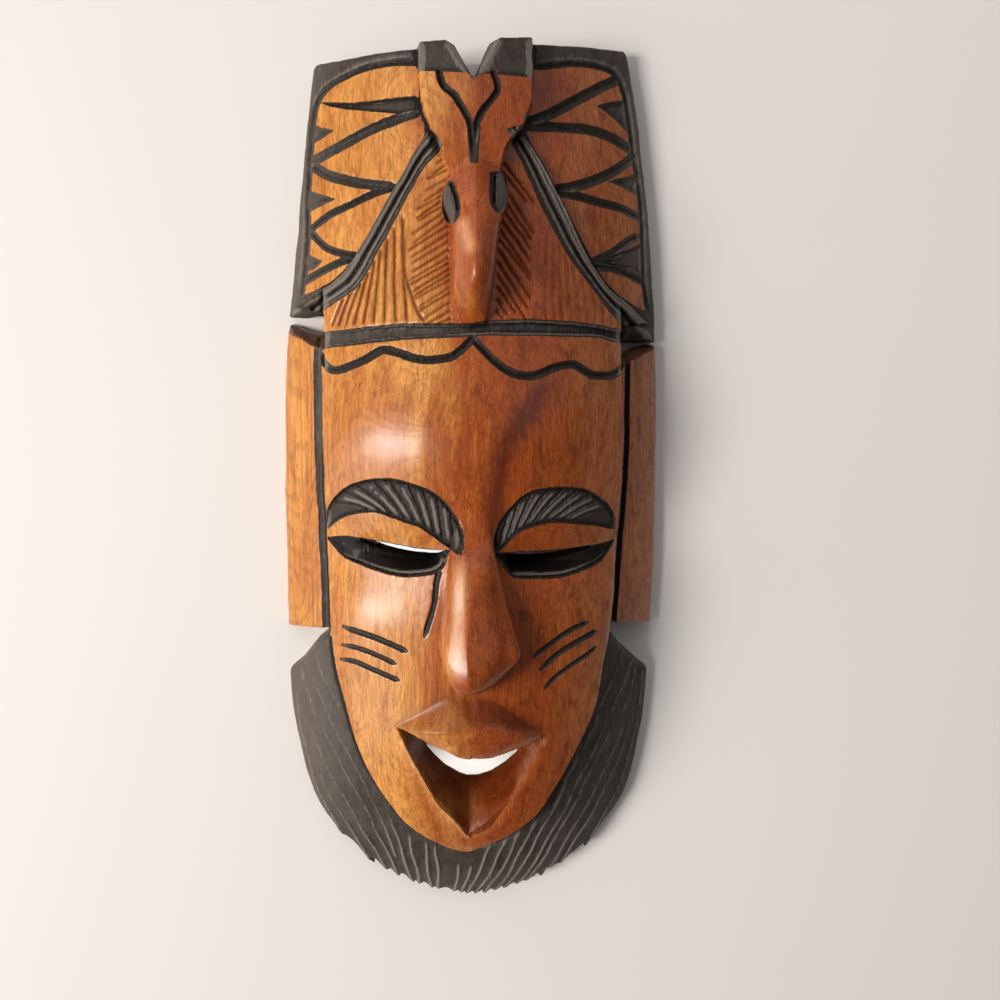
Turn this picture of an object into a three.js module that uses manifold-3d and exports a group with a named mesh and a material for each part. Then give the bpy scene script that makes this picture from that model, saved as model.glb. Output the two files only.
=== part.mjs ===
// A carved wooden wall mask: one half log, hollow behind, lying on its flat back rim.
// Millimetres. +X is to the viewer's right, +Y towards the horns, +Z out of the face.
import * as THREE from 'three';
import { mergeVertices } from 'three/addons/utils/BufferGeometryUtils.js';
import Module from 'manifold-3d';

// Driving dimensions
const TOP_Y = 288.8; // top edge of the headdress on the centre line
const TOP_SLOPE = 0.06; // the top edge was sawn a little out of square
const RIM_HEIGHT = 12; // height of the outer edge above the back
const BAND_Y = 112; // headband, where the face ends and the hair cap begins
const CHIN = [-6, -240]; // lowest point of the face oval
const HORN_Y = 266; // where the horn tips begin to slope back
const LOG_CURVE = 0.004; // fall of the log's round, per square millimetre from its middle
const HEAD_CURVE = 0.0025; // the same for the animal's forehead
const BOARD_FOOT = BAND_Y - 8; // the headdress board ends here, behind the headband
const UNDER_FACE = 48; // the log is left this high where the face stands on it
const NOSE_RISE = 30; // the nose tip above the cheeks
const NOSE_WALL = 3; // the nose's flanks start this far outside its edge and below the cheeks
const LIP_RISE = 10; // the ridge of the upper lip above the cheeks
const MOUTH_FLOOR = 50; // height of the gap's edge, and of the mouth's two bevels there
const MOUTH_RIM = 76; // height of the face round the mouth
const EYE_FLOOR = 54; // height of the eye slits' edges
const SOCKET = { depth: 6, y: -32, reach: 24, bridge: 20 }; // eye sockets, left and right of the bridge
const HOLLOW = { halfWidth: 84, middleY: 13, halfLength: 245, depth: 58, power: 2.6 };
const GROOVE_WIDTH = 4.4;
const GROOVE_DEPTH = 2.4;
const FACE_LINE = [3.4, 2]; // width and depth of the lines on the face
const BROW_LINE = [3.4, 2.2];
const HEADBAND_LINE = [4.6, 2.6];
const SCALLOP_LINE = [3.6, 2];
const WEDGE = [7, 3];
const NOTCH = [8, 2.5];
const SEAM = [6, 7];
const STRAND = [3.6, 1.8]; // beard
const FINE_WIDTH = 2.6; // hair and hatching
const FINE_DEPTH = 1.5;
const WELD = 1e-3; // points closer than this are one point
const BELOW = -5; // through cuts start under the back
const ABOVE = 140; // and end over the nose
const INSIDE = 20; // added forms stand on this height, within the log
const UNDER_LIP = 52; // the lip stands on the mouth's upper wall

const wasm = await Module();
wasm.setup();

// Numbers and lines

const mix = (a, b, t) => a + (b - a) * t;
const bell = (distance, spread) => Math.exp(-((distance / spread) ** 2));

// A smooth function through [position, value] stations, listed upwards.
function profile(stations) {
  const at = stations.map((s) => s[0]);
  const value = stations.map((s) => s[1]);
  const last = at.length - 1;
  const slope = at.map((_, i) => {
    const a = Math.max(i - 1, 0);
    const b = Math.min(i + 1, last);
    return (value[b] - value[a]) / (at[b] - at[a]);
  });
  return (position) => {
    const p = Math.min(Math.max(position, at[0]), at[last]);
    let i = 0;
    while (i < last - 1 && p > at[i + 1]) i += 1;
    const span = at[i + 1] - at[i];
    const t = (p - at[i]) / span;
    const t2 = t * t;
    const t3 = t2 * t;
    return (2 * t3 - 3 * t2 + 1) * value[i] + (t3 - 2 * t2 + t) * span * slope[i]
      + (3 * t2 - 2 * t3) * value[i + 1] + (t3 - t2) * span * slope[i + 1];
  };
}

// Points spread evenly along a smooth plan curve through a few places.
function along(places, steps) {
  const line = new THREE.SplineCurve(places.map(([x, y]) => new THREE.Vector2(x, y)));
  return line.getSpacedPoints(steps).map((p) => [p.x, p.y]);
}

// Outline and main heights

const leftEdge = profile([
  [-295, -6], [-292, -20], [-287, -39], [-278, -57], [-267, -75], [-255, -87], [-244, -97],
  [-222, -110], [-203, -117], [-186, -121], [-145, -127.5], [-92, -128.2], [0, -128.2], [52, -127],
  [106, -124], [158, -117.5], [198, -113], [243, -107.5], [283, -102],
]);
const rightEdge = profile([
  [-295, 8], [-292, 22], [-287, 37], [-281, 54], [-267, 75], [-257, 86], [-238, 100],
  [-218, 111], [-185, 119], [-159, 123], [-96, 126.5], [-48, 128.2], [37, 128.2], [107, 126],
  [167, 122], [217, 116], [252, 111], [295, 103],
]);
const faceLeft = profile([
  [-240, -7], [-239, -12], [-235, -22], [-229, -32], [-222, -42], [-212, -52], [-189, -68],
  [-163, -80], [-133, -88], [-106, -94], [-66, -97], [0, -98], [42, -97], [112, -96],
]);
const faceRight = profile([
  [-240, -5], [-238, -1], [-233, 9], [-228, 19], [-213, 39], [-188, 56], [-163, 70],
  [-136, 82], [-105, 87], [-85, 91], [-42, 95], [34, 97], [112, 97],
]);
// The hair cap fans out between the diagonal bands, whose feet are at these heights.
const CAP = { top: 235, leftFoot: 122, rightFoot: 116 };
const leftBand = profile([
  [129, -114], [134, -105], [141, -93], [150, -82], [168, -69], [190, -56], [211, -43], [CAP.top, -28],
]);
const rightBand = profile([
  [CAP.rightFoot, 118], [131, 101], [138, 90], [150, 79], [174, 65], [200, 52], [227, 36], [CAP.top, 28],
]);
const capLeft = (y) => (y < CAP.leftFoot ? faceLeft(BAND_Y) - 1 : leftBand(y));
const capRight = (y) => (y < CAP.rightFoot ? faceRight(BAND_Y) : rightBand(y));

const logMiddle = profile([
  [-295, 12.5], [-290, 17], [-280, 26], [-265, 37], [-246, 46], [-230, 53], [-200, 62],
  [-160, 69], [-120, 71], [110, 71], [150, 66], [200, 58], [250, 50], [295, 43],
]);
const faceMiddle = profile([
  [-240, 58], [-225, 66], [-200, 74], [-150, 82], [-100, 84], [-60, 84], [0, 88], [60, 89], [112, 80],
]);
const capMiddle = profile([[112, 80], [150, 74], [190, 67], [CAP.top, 58]]);

function logTop(x, y) {
  const edge = x < 0 ? leftEdge(y) : rightEdge(y);
  const round = 1 - Math.min(Math.abs(x / edge), 1) ** 2;
  const height = RIM_HEIGHT + (logMiddle(y) - RIM_HEIGHT) * round;
  return y < BOARD_FOOT ? Math.min(height, UNDER_FACE) : height;
}

function faceTop(x, y) {
  const beside = 1 - bell(x, SOCKET.bridge);
  const socket = SOCKET.depth * bell(y - SOCKET.y, SOCKET.reach) * beside;
  return faceMiddle(y) - LOG_CURVE * x * x - socket;
}

const capTop = (x, y) => capMiddle(y) - LOG_CURVE * x * x;

const inFace = (x, y) => y <= BAND_Y && y > CHIN[1] && x > faceLeft(y) && x < faceRight(y);
const inCap = (x, y) => y > BAND_Y && y < CAP.top && x > capLeft(y) && x < capRight(y);

function surface(x, y) {
  if (inFace(x, y)) return faceTop(x, y);
  return inCap(x, y) ? Math.max(capTop(x, y), logTop(x, y)) : logTop(x, y);
}

// Solids

// A closed solid from points and triangles, turned face out.
function solid(points, triangles) {
  const geometry = new THREE.BufferGeometry();
  geometry.setAttribute('position', new THREE.Float32BufferAttribute(points.flat(), 3));
  geometry.setIndex(triangles.flat());
  const merged = mergeVertices(geometry, WELD);
  const p = merged.attributes.position;
  const kept = [];
  let volume = 0;
  for (let i = 0; i < merged.index.count; i += 3) {
    const [a, b, c] = [0, 1, 2].map((k) => merged.index.getX(i + k));
    if (a !== b && b !== c && a !== c) {
      kept.push(a, b, c);
      const [u, v, w] = [a, b, c].map((k) => new THREE.Vector3().fromBufferAttribute(p, k));
      volume += u.dot(v.cross(w));
    }
  }
  if (volume < 0) kept.reverse();
  return new wasm.Manifold(new wasm.Mesh({
    numProp: 3,
    vertProperties: new Float32Array(p.array),
    triVerts: new Uint32Array(kept),
  }));
}

// A solid under rows of surface points, with upright walls and a flat underside.
function under(rows, bottom) {
  const m = rows.length;
  const n = rows[0].length;
  const top = rows.flat();
  const points = top.concat(top.map(([x, y]) => [x, y, bottom]));
  const id = (i, j) => i * n + j;
  const low = (i, j) => (m + i) * n + j;
  const triangles = [];
  const quad = (a, b, c, d) => triangles.push([a, b, c], [a, c, d]);
  for (let i = 0; i + 1 < m; i += 1) {
    for (let j = 0; j + 1 < n; j += 1) quad(id(i, j), id(i, j + 1), id(i + 1, j + 1), id(i + 1, j));
    quad(low(i, 0), id(i, 0), id(i + 1, 0), low(i + 1, 0));
    quad(id(i, n - 1), low(i, n - 1), low(i + 1, n - 1), id(i + 1, n - 1));
    quad(low(i, n - 1), low(i, 0), low(i + 1, 0), low(i + 1, n - 1));
  }
  for (let j = 0; j + 1 < n; j += 1) {
    triangles.push([low(0, 0), id(0, j + 1), id(0, j)]);
    triangles.push([low(m - 1, 0), id(m - 1, j), id(m - 1, j + 1)]);
  }
  triangles.push([low(0, 0), low(0, n - 1), id(0, n - 1)]);
  triangles.push([low(m - 1, 0), id(m - 1, n - 1), low(m - 1, n - 1)]);
  return solid(points, triangles);
}

// A solid through rings of equally many points, closed flat at both ends.
function stack(given) {
  const flat = (ring) => ring.map(([x, y]) => new THREE.Vector2(x, y));
  const clockwise = THREE.ShapeUtils.isClockWise(flat(given[0]));
  const rings = given.map((ring) => (clockwise ? [...ring].reverse() : ring));
  const n = rings[0].length;
  const triangles = [];
  for (let k = 0; k + 1 < rings.length; k += 1) {
    for (let i = 0; i < n; i += 1) {
      const j = (i + 1) % n;
      triangles.push([k * n + i, k * n + j, (k + 1) * n + j], [k * n + i, (k + 1) * n + j, (k + 1) * n + i]);
    }
  }
  const lid = (ring) => THREE.ShapeUtils.triangulateShape(flat(ring), []);
  const end = (rings.length - 1) * n;
  for (const [a, b, c] of lid(rings[0])) triangles.push([c, b, a]);
  for (const [a, b, c] of lid(rings[rings.length - 1])) triangles.push([end + a, end + b, end + c]);
  return solid(rings.flat(), triangles);
}

const level = (outline, z) => outline.map(([x, y]) => [x, y, z]);
const through = (outline) => stack([level(outline, BELOW), level(outline, ABOVE)]);

// Rows of points across a shape whose sides are two functions of y.
function rowsAcross(ys, columns, left, right, height) {
  return ys.map((y) => columns.map((s) => {
    const x = mix(left(y), right(y), (s + 1) / 2);
    return [x, y, height(x, y, s)];
  }));
}

// A V-shaped cut that follows the surface along a plan curve and runs out at both ends.
function groove(places, steps, width = GROOVE_WIDTH, depth = GROOVE_DEPTH, endWidth = 0.15) {
  const path = along(places, steps);
  const clear = 1.6; // the cutter's height above the surface
  const points = [];
  const triangles = [];
  path.forEach(([x, y], i) => {
    const before = path[Math.max(i - 1, 0)];
    const after = path[Math.min(i + 1, steps)];
    const run = [after[0] - before[0], after[1] - before[1]];
    const atEnd = i === 0 || i === steps;
    const half = 0.5 * width * (1 + clear / depth) * (atEnd ? endWidth : 1) / Math.hypot(...run);
    for (const side of [-half, half]) {
      const px = x - side * run[1];
      const py = y + side * run[0];
      points.push([px, py, surface(px, py) + clear]);
    }
    points.push([x, y, surface(x, y) - depth * (atEnd ? 0.3 : 1)]);
    const k = 3 * i;
    if (i > 0) {
      triangles.push([k - 3, k, k + 2], [k - 3, k + 2, k - 1], [k - 1, k + 2, k + 1]);
      triangles.push([k - 1, k + 1, k - 2], [k - 2, k + 1, k], [k - 2, k, k - 3]);
    }
  });
  const end = 3 * steps;
  triangles.push([0, 2, 1], [end, end + 1, end + 2]);
  return solid(points, triangles);
}

// The log with its headdress board, ear panels and beard

function logBody() {
  const ys = [
    -295, -292, -287, -280, -270, -258, -242, -222, -196, -160, -110, -40, 50,
    100, 106, 122, 144, 168, 192, 216, 242, 266, TOP_Y,
  ];
  const columns = [-1, -0.9, -0.77, -0.62, -0.44, -0.2, 0.2, 0.44, 0.62, 0.77, 0.9, 1];
  const rows = rowsAcross(ys, columns, leftEdge, rightEdge, logTop);
  const skewed = rows.map((row) => row.map(([x, y, z]) => {
    const share = Math.min(Math.max((y - 200) / (TOP_Y - 200), 0), 1);
    return [x, y + x * TOP_SLOPE * share, z];
  }));
  return under(skewed, 0);
}

// The gaps left and right, above and below each ear panel
function sideGaps() {
  return [
    [[-145, 121], [-97, 122], [-97, 109], [-112, 112], [-145, 116]],
    [[145, 105], [98, 104], [97, 94], [112, 99], [145, 102.5]],
    [[-145, -92], [-98, -87], [-97, -91], [-108, -101], [-120, -115], [-145, -139]],
    [[145, -97], [96, -86], [93, -92], [105, -109], [118, -121], [145, -142]],
  ].map(through);
}

// The slanted rough end of each ear panel
function earTops() {
  const bevel = (side, inner, outer, gap) => {
    const ring = (z, back) => level(
      [[side * 97, inner - back], [side * 145, outer - back], [side * 145, gap], [side * 97, gap]],
      z,
    );
    return stack([ring(10, 0), ring(60, 24)]);
  };
  return [bevel(-1, 113, 115, 119), bevel(1, 100, 103, 103.5)];
}

// The face

function faceBlock() {
  const ys = [
    CHIN[1], -238, -234, -227, -216, -200, -180, -156, -128, -100, -74, -56, -42,
    -30, -18, -4, 16, 44, 72, 94, BAND_Y,
  ];
  const columns = [-1, -0.88, -0.72, -0.54, -0.36, -0.14, 0.14, 0.36, 0.54, 0.72, 0.88, 1];
  return under(rowsAcross(ys, columns, faceLeft, faceRight, faceTop), INSIDE);
}

function noseBlock() {
  const left = profile([[-118, -8], [-112, -16], [-92, -22], [-57, -19], [-22, -15]]);
  const right = profile([[-118, -1], [-112, 8], [-100, 19], [-91, 27], [-78, 24], [-52, 17], [-22, 11]]);
  const ridge = profile([[-118, -5], [-84, -8], [-59, -4], [-28, 5], [-22, 5]]);
  const rise = profile([[-118, 4], [-112, 0.8 * NOSE_RISE], [-104, NOSE_RISE], [-90, 0.95 * NOSE_RISE],
    [-60, 0.66 * NOSE_RISE], [-36, 0.4 * NOSE_RISE], [-22, 3]]);
  const rows = [-118, -115, -111, -105, -97, -88, -76, -62, -48, -35, -22].map((y) => {
    const across = [[left(y) - NOSE_WALL, 0], [left(y) + 2, 0.66], [mix(left(y), ridge(y), 0.6), 0.93],
      [ridge(y), 1], [mix(ridge(y), right(y), 0.5), 0.86], [right(y) - 1, 0.6], [right(y) + NOSE_WALL, 0]];
    const base = faceMiddle(y) - NOSE_WALL;
    return across.map(([x, share]) => [x, y, base + share * (NOSE_WALL + rise(y))]);
  });
  return under(rows, INSIDE);
}

function upperLip() {
  const top = profile([[-53, -144], [-37, -133], [-18, -121], [-6, -123], [8, -123], [24, -134], [44, -151]]);
  const crest = profile([[-53, -144], [-30, -143], [-6, -140], [18, -143], [44, -151.5]]);
  const low = profile([[-53, -145], [-32, -153], [-12, -162], [2, -163], [17, -161], [30, -157], [44, -152]]);
  const share = profile([[-53, 0], [-38, 0.7], [-20, 1], [-6, 0.9], [10, 1], [30, 0.7], [44, 0]]);
  const rows = [-53, -45, -37, -28, -20, -13, -6, 2, 10, 18, 27, 36, 44].map((x) => {
    const rise = LIP_RISE * share(x);
    const line = [[top(x), -1], [mix(top(x), crest(x), 0.6), 0.5 * rise], [crest(x), rise],
      [mix(crest(x), low(x), 0.6), 0.75 * rise], [low(x), 0.3 * rise]];
    return line.map(([y, up]) => [x, y, faceTop(x, y) + up]);
  });
  return under(rows, UNDER_LIP);
}

// The mouth: two bevels run down to a gap under the lip that goes right through.
function mouthCut() {
  const lipLine = [[30, -157], [17, -161], [2, -163], [-12, -162], [-32, -153]];
  const rim = [[-51, -146], [-44, -163], [-31, -188], [-18, -208], [-7, -225], [12, -211], [25, -190],
    [35, -170], [43, -153], ...lipLine];
  const gap = [[-34, -157], [-30.5, -168], [-24, -177], [-13, -185.5], [-5, -189], [9, -188], [20, -181],
    [27, -173.5], [33, -160], ...lipLine];
  return stack([level(gap, BELOW), level(gap, MOUTH_FLOOR), level(rim, MOUTH_RIM), level(rim, ABOVE)]);
}

// An eye: the lower wall slants back to a slit under the upper lid.
function eyeCut(upper, lower, slitUpper, slitLower) {
  const rim = [...lower, ...upper];
  const slit = [...slitLower, ...slitUpper];
  const rimHeights = rim.map(([x, y]) => [x, y, faceTop(x, y)]);
  return stack([level(slit, BELOW), level(slit, EYE_FLOOR), rimHeights, level(rim, ABOVE)]);
}

function eyeCuts() {
  return [
    eyeCut(
      [[-17, -27], [-36, -26], [-58, -23], [-80, -21], [-95, -24]],
      [[-88, -34], [-72, -39], [-52, -43], [-34, -42], [-20, -35]],
      [[-17, -28.3], [-36, -26.3], [-50, -24], [-62, -22.8], [-72, -23.5]],
      [[-71, -25.7], [-60, -28], [-48, -29.9], [-34, -31.4], [-21, -31.4]],
    ),
    eyeCut(
      [[92, -28], [75, -28.5], [55, -29], [34, -28.5], [12, -28]],
      [[17, -38], [31, -45], [52, -45.5], [74, -42], [90, -33]],
      [[72, -29.6], [64, -29.2], [52, -28.9], [34, -28.4], [14, -29]],
      [[17, -31.2], [31, -33.6], [50, -34], [62, -33.2], [71, -30.8]],
    ),
  ];
}

// The animal's head

function capBlock() {
  const { top, leftFoot, rightFoot } = CAP;
  const feet = [rightFoot - 0.1, rightFoot, leftFoot - 0.1, leftFoot];
  const ys = [BAND_Y - 0.4, ...feet, 129, 136, 146, 160, 178, 196, 214, top];
  const columns = [-1, -0.8, -0.58, -0.36, -0.12, 0.12, 0.36, 0.58, 0.8, 1];
  return under(rowsAcross(ys, columns, capLeft, capRight, capTop), INSIDE);
}

const headMiddle = profile([[206, 74], [236, 70], [266, 64], [289, 57]]);
const headTop = (x, y) => headMiddle(y) - HEAD_CURVE * x * x;
// The muzzle stands nearly as high as the nose, and its blunt end slopes down to the headband.
const snoutMiddle = profile([
  [113, 81], [118, 85], [128, 95], [139, 105], [150, 106], [165, 102], [180, 95], [195, 87], [212, 76],
]);

// The forehead with the horns: their tips slope back from the hairline.
function foreheadBlock() {
  const left = profile([[206, -12], [218, -20], [236, -29], [250, -32], [TOP_Y, -34]]);
  const right = profile([[206, 13], [218, 18], [236, 32], [250, 36], [TOP_Y, 37]]);
  const ys = [206, 218, 230, 248, HORN_Y, 278, TOP_Y];
  const rows = rowsAcross(ys, [-1, -0.6, 0, 0.6, 1], left, right, headTop);
  const skewed = rows.map((row) => row.map(([x, y, z]) => {
    const share = Math.max(y - HORN_Y, 0) / (TOP_Y - HORN_Y);
    return [x, y + x * TOP_SLOPE * share, z];
  }));
  return under(skewed, INSIDE);
}

function snoutBlock() {
  const left = profile([
    [113, -8], [118, -11], [128, -14], [150, -15], [174, -15.5], [190, -20], [204, -17], [212, -13],
  ]);
  const right = profile([
    [113, 5], [118, 7], [128, 8.5], [146, 11], [174, 15], [190, 20], [204, 18], [212, 14],
  ]);
  const ridge = profile([[113, -2], [141, -2], [174, -1], [212, 0]]);
  const rows = [113, 118, 124, 132, 140, 150, 162, 174, 182, 190, 198, 205, 212].map((y) => {
    const across = [[left(y), 0.1], [mix(left(y), ridge(y), 0.45), 0.7], [mix(left(y), ridge(y), 0.75), 0.93],
      [ridge(y), 1], [mix(ridge(y), right(y), 0.6), 0.88], [right(y), 0.5]];
    const base = capMiddle(y) - 2;
    return across.map(([x, share]) => [x, y, mix(base, snoutMiddle(y), share)]);
  });
  return under(rows, INSIDE);
}

const hornNotch = () => stack([
  [[-13, 320], [-1.5, 267], [1, 267], [11, 320], [-1, 330]].map(([x, y]) => [x, y, 20]),
  [[-40, 320], [-4, 266], [3, 266], [34, 320], [-1, 330]].map(([x, y]) => [x, y, 75]),
]);

// The hollow behind, a smooth bowl that reaches the back rim
function hollow() {
  const around = 26;
  const reach = [1, 0.97, 0.86, 0.66, 0.36];
  const place = (r, angle, power) => {
    const c = Math.cos(angle);
    const s = Math.sin(angle);
    return [
      HOLLOW.halfWidth * r * Math.sign(c) * Math.abs(c) ** (2 / power),
      HOLLOW.middleY + HOLLOW.halfLength * r * Math.sign(s) * Math.abs(s) ** (2 / power),
    ];
  };
  const ring = (r, z) => Array.from({ length: around }, (_, i) => {
    const angle = (2 * Math.PI * i) / around;
    return [...place(r, angle, HOLLOW.power), z];
  });
  const height = (r) => HOLLOW.depth * (1 - r ** 4) ** 0.6;
  return stack([ring(1.01, BELOW), ...reach.map((r) => ring(r, height(r)))]);
}

// Carved lines, each a few plan places

const lines = (list, steps, width, depth) => list.map((places) => groove(places, steps, width, depth));

function wingLines() {
  const border = [
    [[-113, 137], [-109, 160], [-106, 200], [-103, 240], [-97, 261], [-86, 270], [-64, 277], [-36, 279]],
    [[118, 127], [115, 160], [111, 200], [104, 250], [97, 273], [82, 280], [60, 279], [39, 276]],
  ];
  const zigzag = [
    [[-33, 247], [-65, 237], [-104, 221]],
    [[-103, 219], [-79, 206], [-50, 201]],
    [[-50, 201], [-79, 191], [-106, 178]],
    [[-106, 175], [-88, 163], [-73, 158]],
    [[-72, 158], [-88, 155], [-109, 144]],
    [[32, 241], [66, 258], [97, 275]],
    [[31, 239], [74, 240], [106, 232]],
    [[110, 229], [83, 210], [52, 199]],
    [[52, 199], [83, 195], [113, 187]],
    [[111, 174], [92, 163], [76, 153]],
    [[77, 152], [94, 152], [115, 145]],
  ];
  const wedges = [[[-97, 259], [-70, 254], [-34, 251]]];
  const notches = [
    [[-107, 240], [-89, 239]], [[-109, 196], [-88, 195]], [[-112, 158], [-98, 157]],
    [[104, 254], [81, 256]], [[112, 211], [89, 208]], [[117, 160], [88, 157]],
  ];
  return [
    ...lines(border, 8, GROOVE_WIDTH, 2),
    ...lines(zigzag, 2),
    ...lines(wedges, 3, ...WEDGE),
    ...lines(notches, 2, ...NOTCH),
  ];
}

// Two lines run down each diagonal band, a third of its width apart.
function diagonalLines() {
  const bands = [
    [[-28, 232], [-43, 208], [-60, 179], [-78, 151], [-92, 137], [-112, 126]],
    [[29, 231], [42, 209], [57, 183], [74, 152], [90, 134], [117, 118]],
  ];
  const inward = [[4, -2], [-4, -2]];
  return bands.flatMap((places, side) => [0.6, 2].map((step) => groove(
    places.map(([x, y]) => [x + step * inward[side][0], y + step * inward[side][1]]),
    6,
    3.4,
    2,
  )));
}

function hairLines() {
  const flutes = Array.from({ length: 8 }, (_, i) => {
    const t = i / 7;
    const top = [mix(-75, -46, t), mix(137, 177, t)];
    const bend = [mix(-84, -42, t), mix(126, 143, t)];
    return [top, bend, [mix(-90, -34, t), 114]];
  });
  const faint = Array.from({ length: 4 }, (_, i) => {
    const t = i / 3;
    return [[mix(52, 80, t), mix(170, 138, t)], [mix(50, 88, t), 114]];
  });
  const hatchLeft = Array.from({ length: 6 }, (_, i) => {
    const y = 126 + 14 * i;
    return [[mix(-36, -30, i / 5), y - 10], [-15, y]];
  });
  const hatchRight = Array.from({ length: 5 }, (_, i) => {
    const y = 142 + 14 * i;
    return [[15, y], [mix(30, 40, i / 4), y - 22]];
  });
  return [...lines(flutes, 2, FINE_WIDTH, FINE_DEPTH), ...lines([...faint, ...hatchLeft, ...hatchRight], 1,
    FINE_WIDTH, FINE_DEPTH)];
}

function faceLines() {
  const band = [
    [[-95, 109], [-48, 113], [0, 113], [50, 115], [95, 110]],
    [[-95, 102], [-48, 105], [0, 107], [50, 108], [95, 103]],
  ];
  const scallops = [
    [[-2, 105], [-16, 95], [-38, 93], [-60, 98], [-76, 90], [-95, 90]],
    [[-2, 105], [11, 93], [30, 83], [58, 90], [75, 84], [95, 88]],
  ];
  const brows = [
    [[-96, -14], [-82, 11], [-58, 18], [-36, 14], [-17, -1], [-11, -22]],
    [[-95, -15], [-80, -5], [-60, -3], [-36, -10], [-13, -24]],
    [[11, -25], [20, 0], [39, 11], [60, 12], [80, 2], [92, -14]],
    [[12, -25], [24, -15], [45, -9], [70, -12], [92, -17]],
  ];
  const strands = [0.2, 0.5, 0.8].flatMap((t) => [
    [[mix(-84, -26, t), mix(6, 4, t)], [mix(-66, -15, t), mix(-3, -19, t)]],
    [[mix(26, 82, t), mix(3, 2, t)], [mix(15, 62, t), mix(-19, -10, t)]],
  ]);
  const lids = [
    [[-95, -29], [-84, -39], [-62, -46], [-40, -47], [-24, -41]],
    [[14, -38], [26, -48], [50, -49], [72, -46], [91, -33]],
  ];
  const tear = [[[-24, -42], [-28, -62], [-34, -82]]];
  const scars = [
    [[-87, -80], [-66, -85], [-46, -92]], [[-88, -92], [-70, -95], [-53, -101]],
    [[-89, -102], [-70, -105], [-51, -112]], [[36, -98], [54, -86], [73, -77]],
    [[41, -107], [58, -94], [79, -84]], [[44, -120], [60, -106], [79, -95]],
  ];
  return [
    ...lines(band, 6, ...HEADBAND_LINE), ...lines(scallops, 8, ...SCALLOP_LINE), ...lines(brows, 6, ...BROW_LINE),
    ...lines(strands, 1, FINE_WIDTH, FINE_DEPTH), ...lines(lids, 4, ...FACE_LINE), ...lines(tear, 2, ...FACE_LINE),
    ...lines(scars, 1, ...FACE_LINE),
  ];
}

// The seam between each ear panel and the face
const earSeams = () => [
  [[-101, 106], [-103, 40], [-103, -30], [-101, -89]],
  [[102.5, 96], [102.5, 30], [100, -40], [96, -88]],
].map((places) => groove(places, 4, ...SEAM, 1));

// Strands of the beard: they leave the face edge and sweep down to the outline.
function beardLines() {
  const strand = (side, t) => {
    const start = side < 0
      ? [mix(-100, -8, t ** 1.3), -116 - 136 * Math.sin(t * Math.PI * 0.5)]
      : [mix(95, -4, t ** 1.3), -114 - 138 * Math.sin(t * Math.PI * 0.5)];
    const fall = mix(70, 42, t);
    const drift = side * mix(6, 2, t);
    const end = [start[0] * mix(1.02, 1.12, Math.sin(t * Math.PI)) + drift, start[1] - fall];
    const edge = side < 0 ? leftEdge : rightEdge;
    while (end[1] < -291 || Math.abs(end[0]) > Math.abs(edge(end[1])) - 1) {
      end[1] += 1.5;
      end[0] -= side * 0.2;
    }
    return [start, [mix(start[0], end[0], 0.5) + side * 1.5, mix(start[1], end[1], 0.5)], end];
  };
  const count = 11; // on each side
  const strands = [-1, 1].flatMap(
    (side) => Array.from({ length: count }, (_, i) => strand(side, (i + 0.5) / count)),
  );
  return lines(strands, 1, ...STRAND);
}

// Joining and cutting

function carve() {
  let wood = logBody();
  const add = (piece) => { wood = wood.add(piece); };
  const cut = (piece) => { wood = wood.subtract(piece); };
  [faceBlock(), capBlock(), foreheadBlock(), snoutBlock(), noseBlock()].forEach(add);
  [hollow(), mouthCut(), ...eyeCuts()].forEach(cut);
  add(upperLip());
  cut(hornNotch());
  [...sideGaps(), ...earTops()].forEach(cut);
  [earSeams, wingLines, diagonalLines, hairLines, faceLines, beardLines].forEach(
    (carved) => carved().forEach(cut),
  );
  return wood;
}

function geometryOf(wood) {
  const { vertProperties, triVerts } = wood.getMesh();
  const geometry = new THREE.BufferGeometry();
  geometry.setAttribute('position', new THREE.BufferAttribute(vertProperties, 3));
  geometry.setIndex(new THREE.BufferAttribute(triVerts, 1));
  geometry.computeVertexNormals();
  return geometry;
}

const varnishedWood = new THREE.MeshStandardMaterial({ color: 0x9a5524, roughness: 0.42, metalness: 0 });
const mask = new THREE.Mesh(geometryOf(carve()), varnishedWood);
mask.name = 'mask';

const group = new THREE.Group();
group.add(mask);

export default group;
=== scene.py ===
"""A carved wooden mask that lies face up on a pale floor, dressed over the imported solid.

The carving is worked out in millimetres as heights over a plan grid, with X to the viewer's right,
Y up the mask and Z out of the face, and becomes one closed mesh in metres.
"""

import math

import bpy
import numpy as np
from mathutils import Matrix, Vector


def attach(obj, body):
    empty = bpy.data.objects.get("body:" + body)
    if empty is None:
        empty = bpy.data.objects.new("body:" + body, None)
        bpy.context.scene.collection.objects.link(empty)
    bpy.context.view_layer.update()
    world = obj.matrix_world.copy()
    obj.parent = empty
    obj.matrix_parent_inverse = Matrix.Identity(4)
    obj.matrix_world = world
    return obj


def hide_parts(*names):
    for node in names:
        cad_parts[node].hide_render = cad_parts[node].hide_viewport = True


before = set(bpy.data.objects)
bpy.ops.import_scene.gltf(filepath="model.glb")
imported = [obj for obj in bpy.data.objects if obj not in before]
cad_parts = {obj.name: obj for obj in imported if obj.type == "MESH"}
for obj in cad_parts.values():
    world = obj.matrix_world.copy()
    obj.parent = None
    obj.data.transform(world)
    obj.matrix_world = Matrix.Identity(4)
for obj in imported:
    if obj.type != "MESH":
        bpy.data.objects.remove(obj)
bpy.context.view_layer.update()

MM = 0.001
STEP = 0.7  # spacing of the plan grid
TRIANGLES = 196_000

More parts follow.
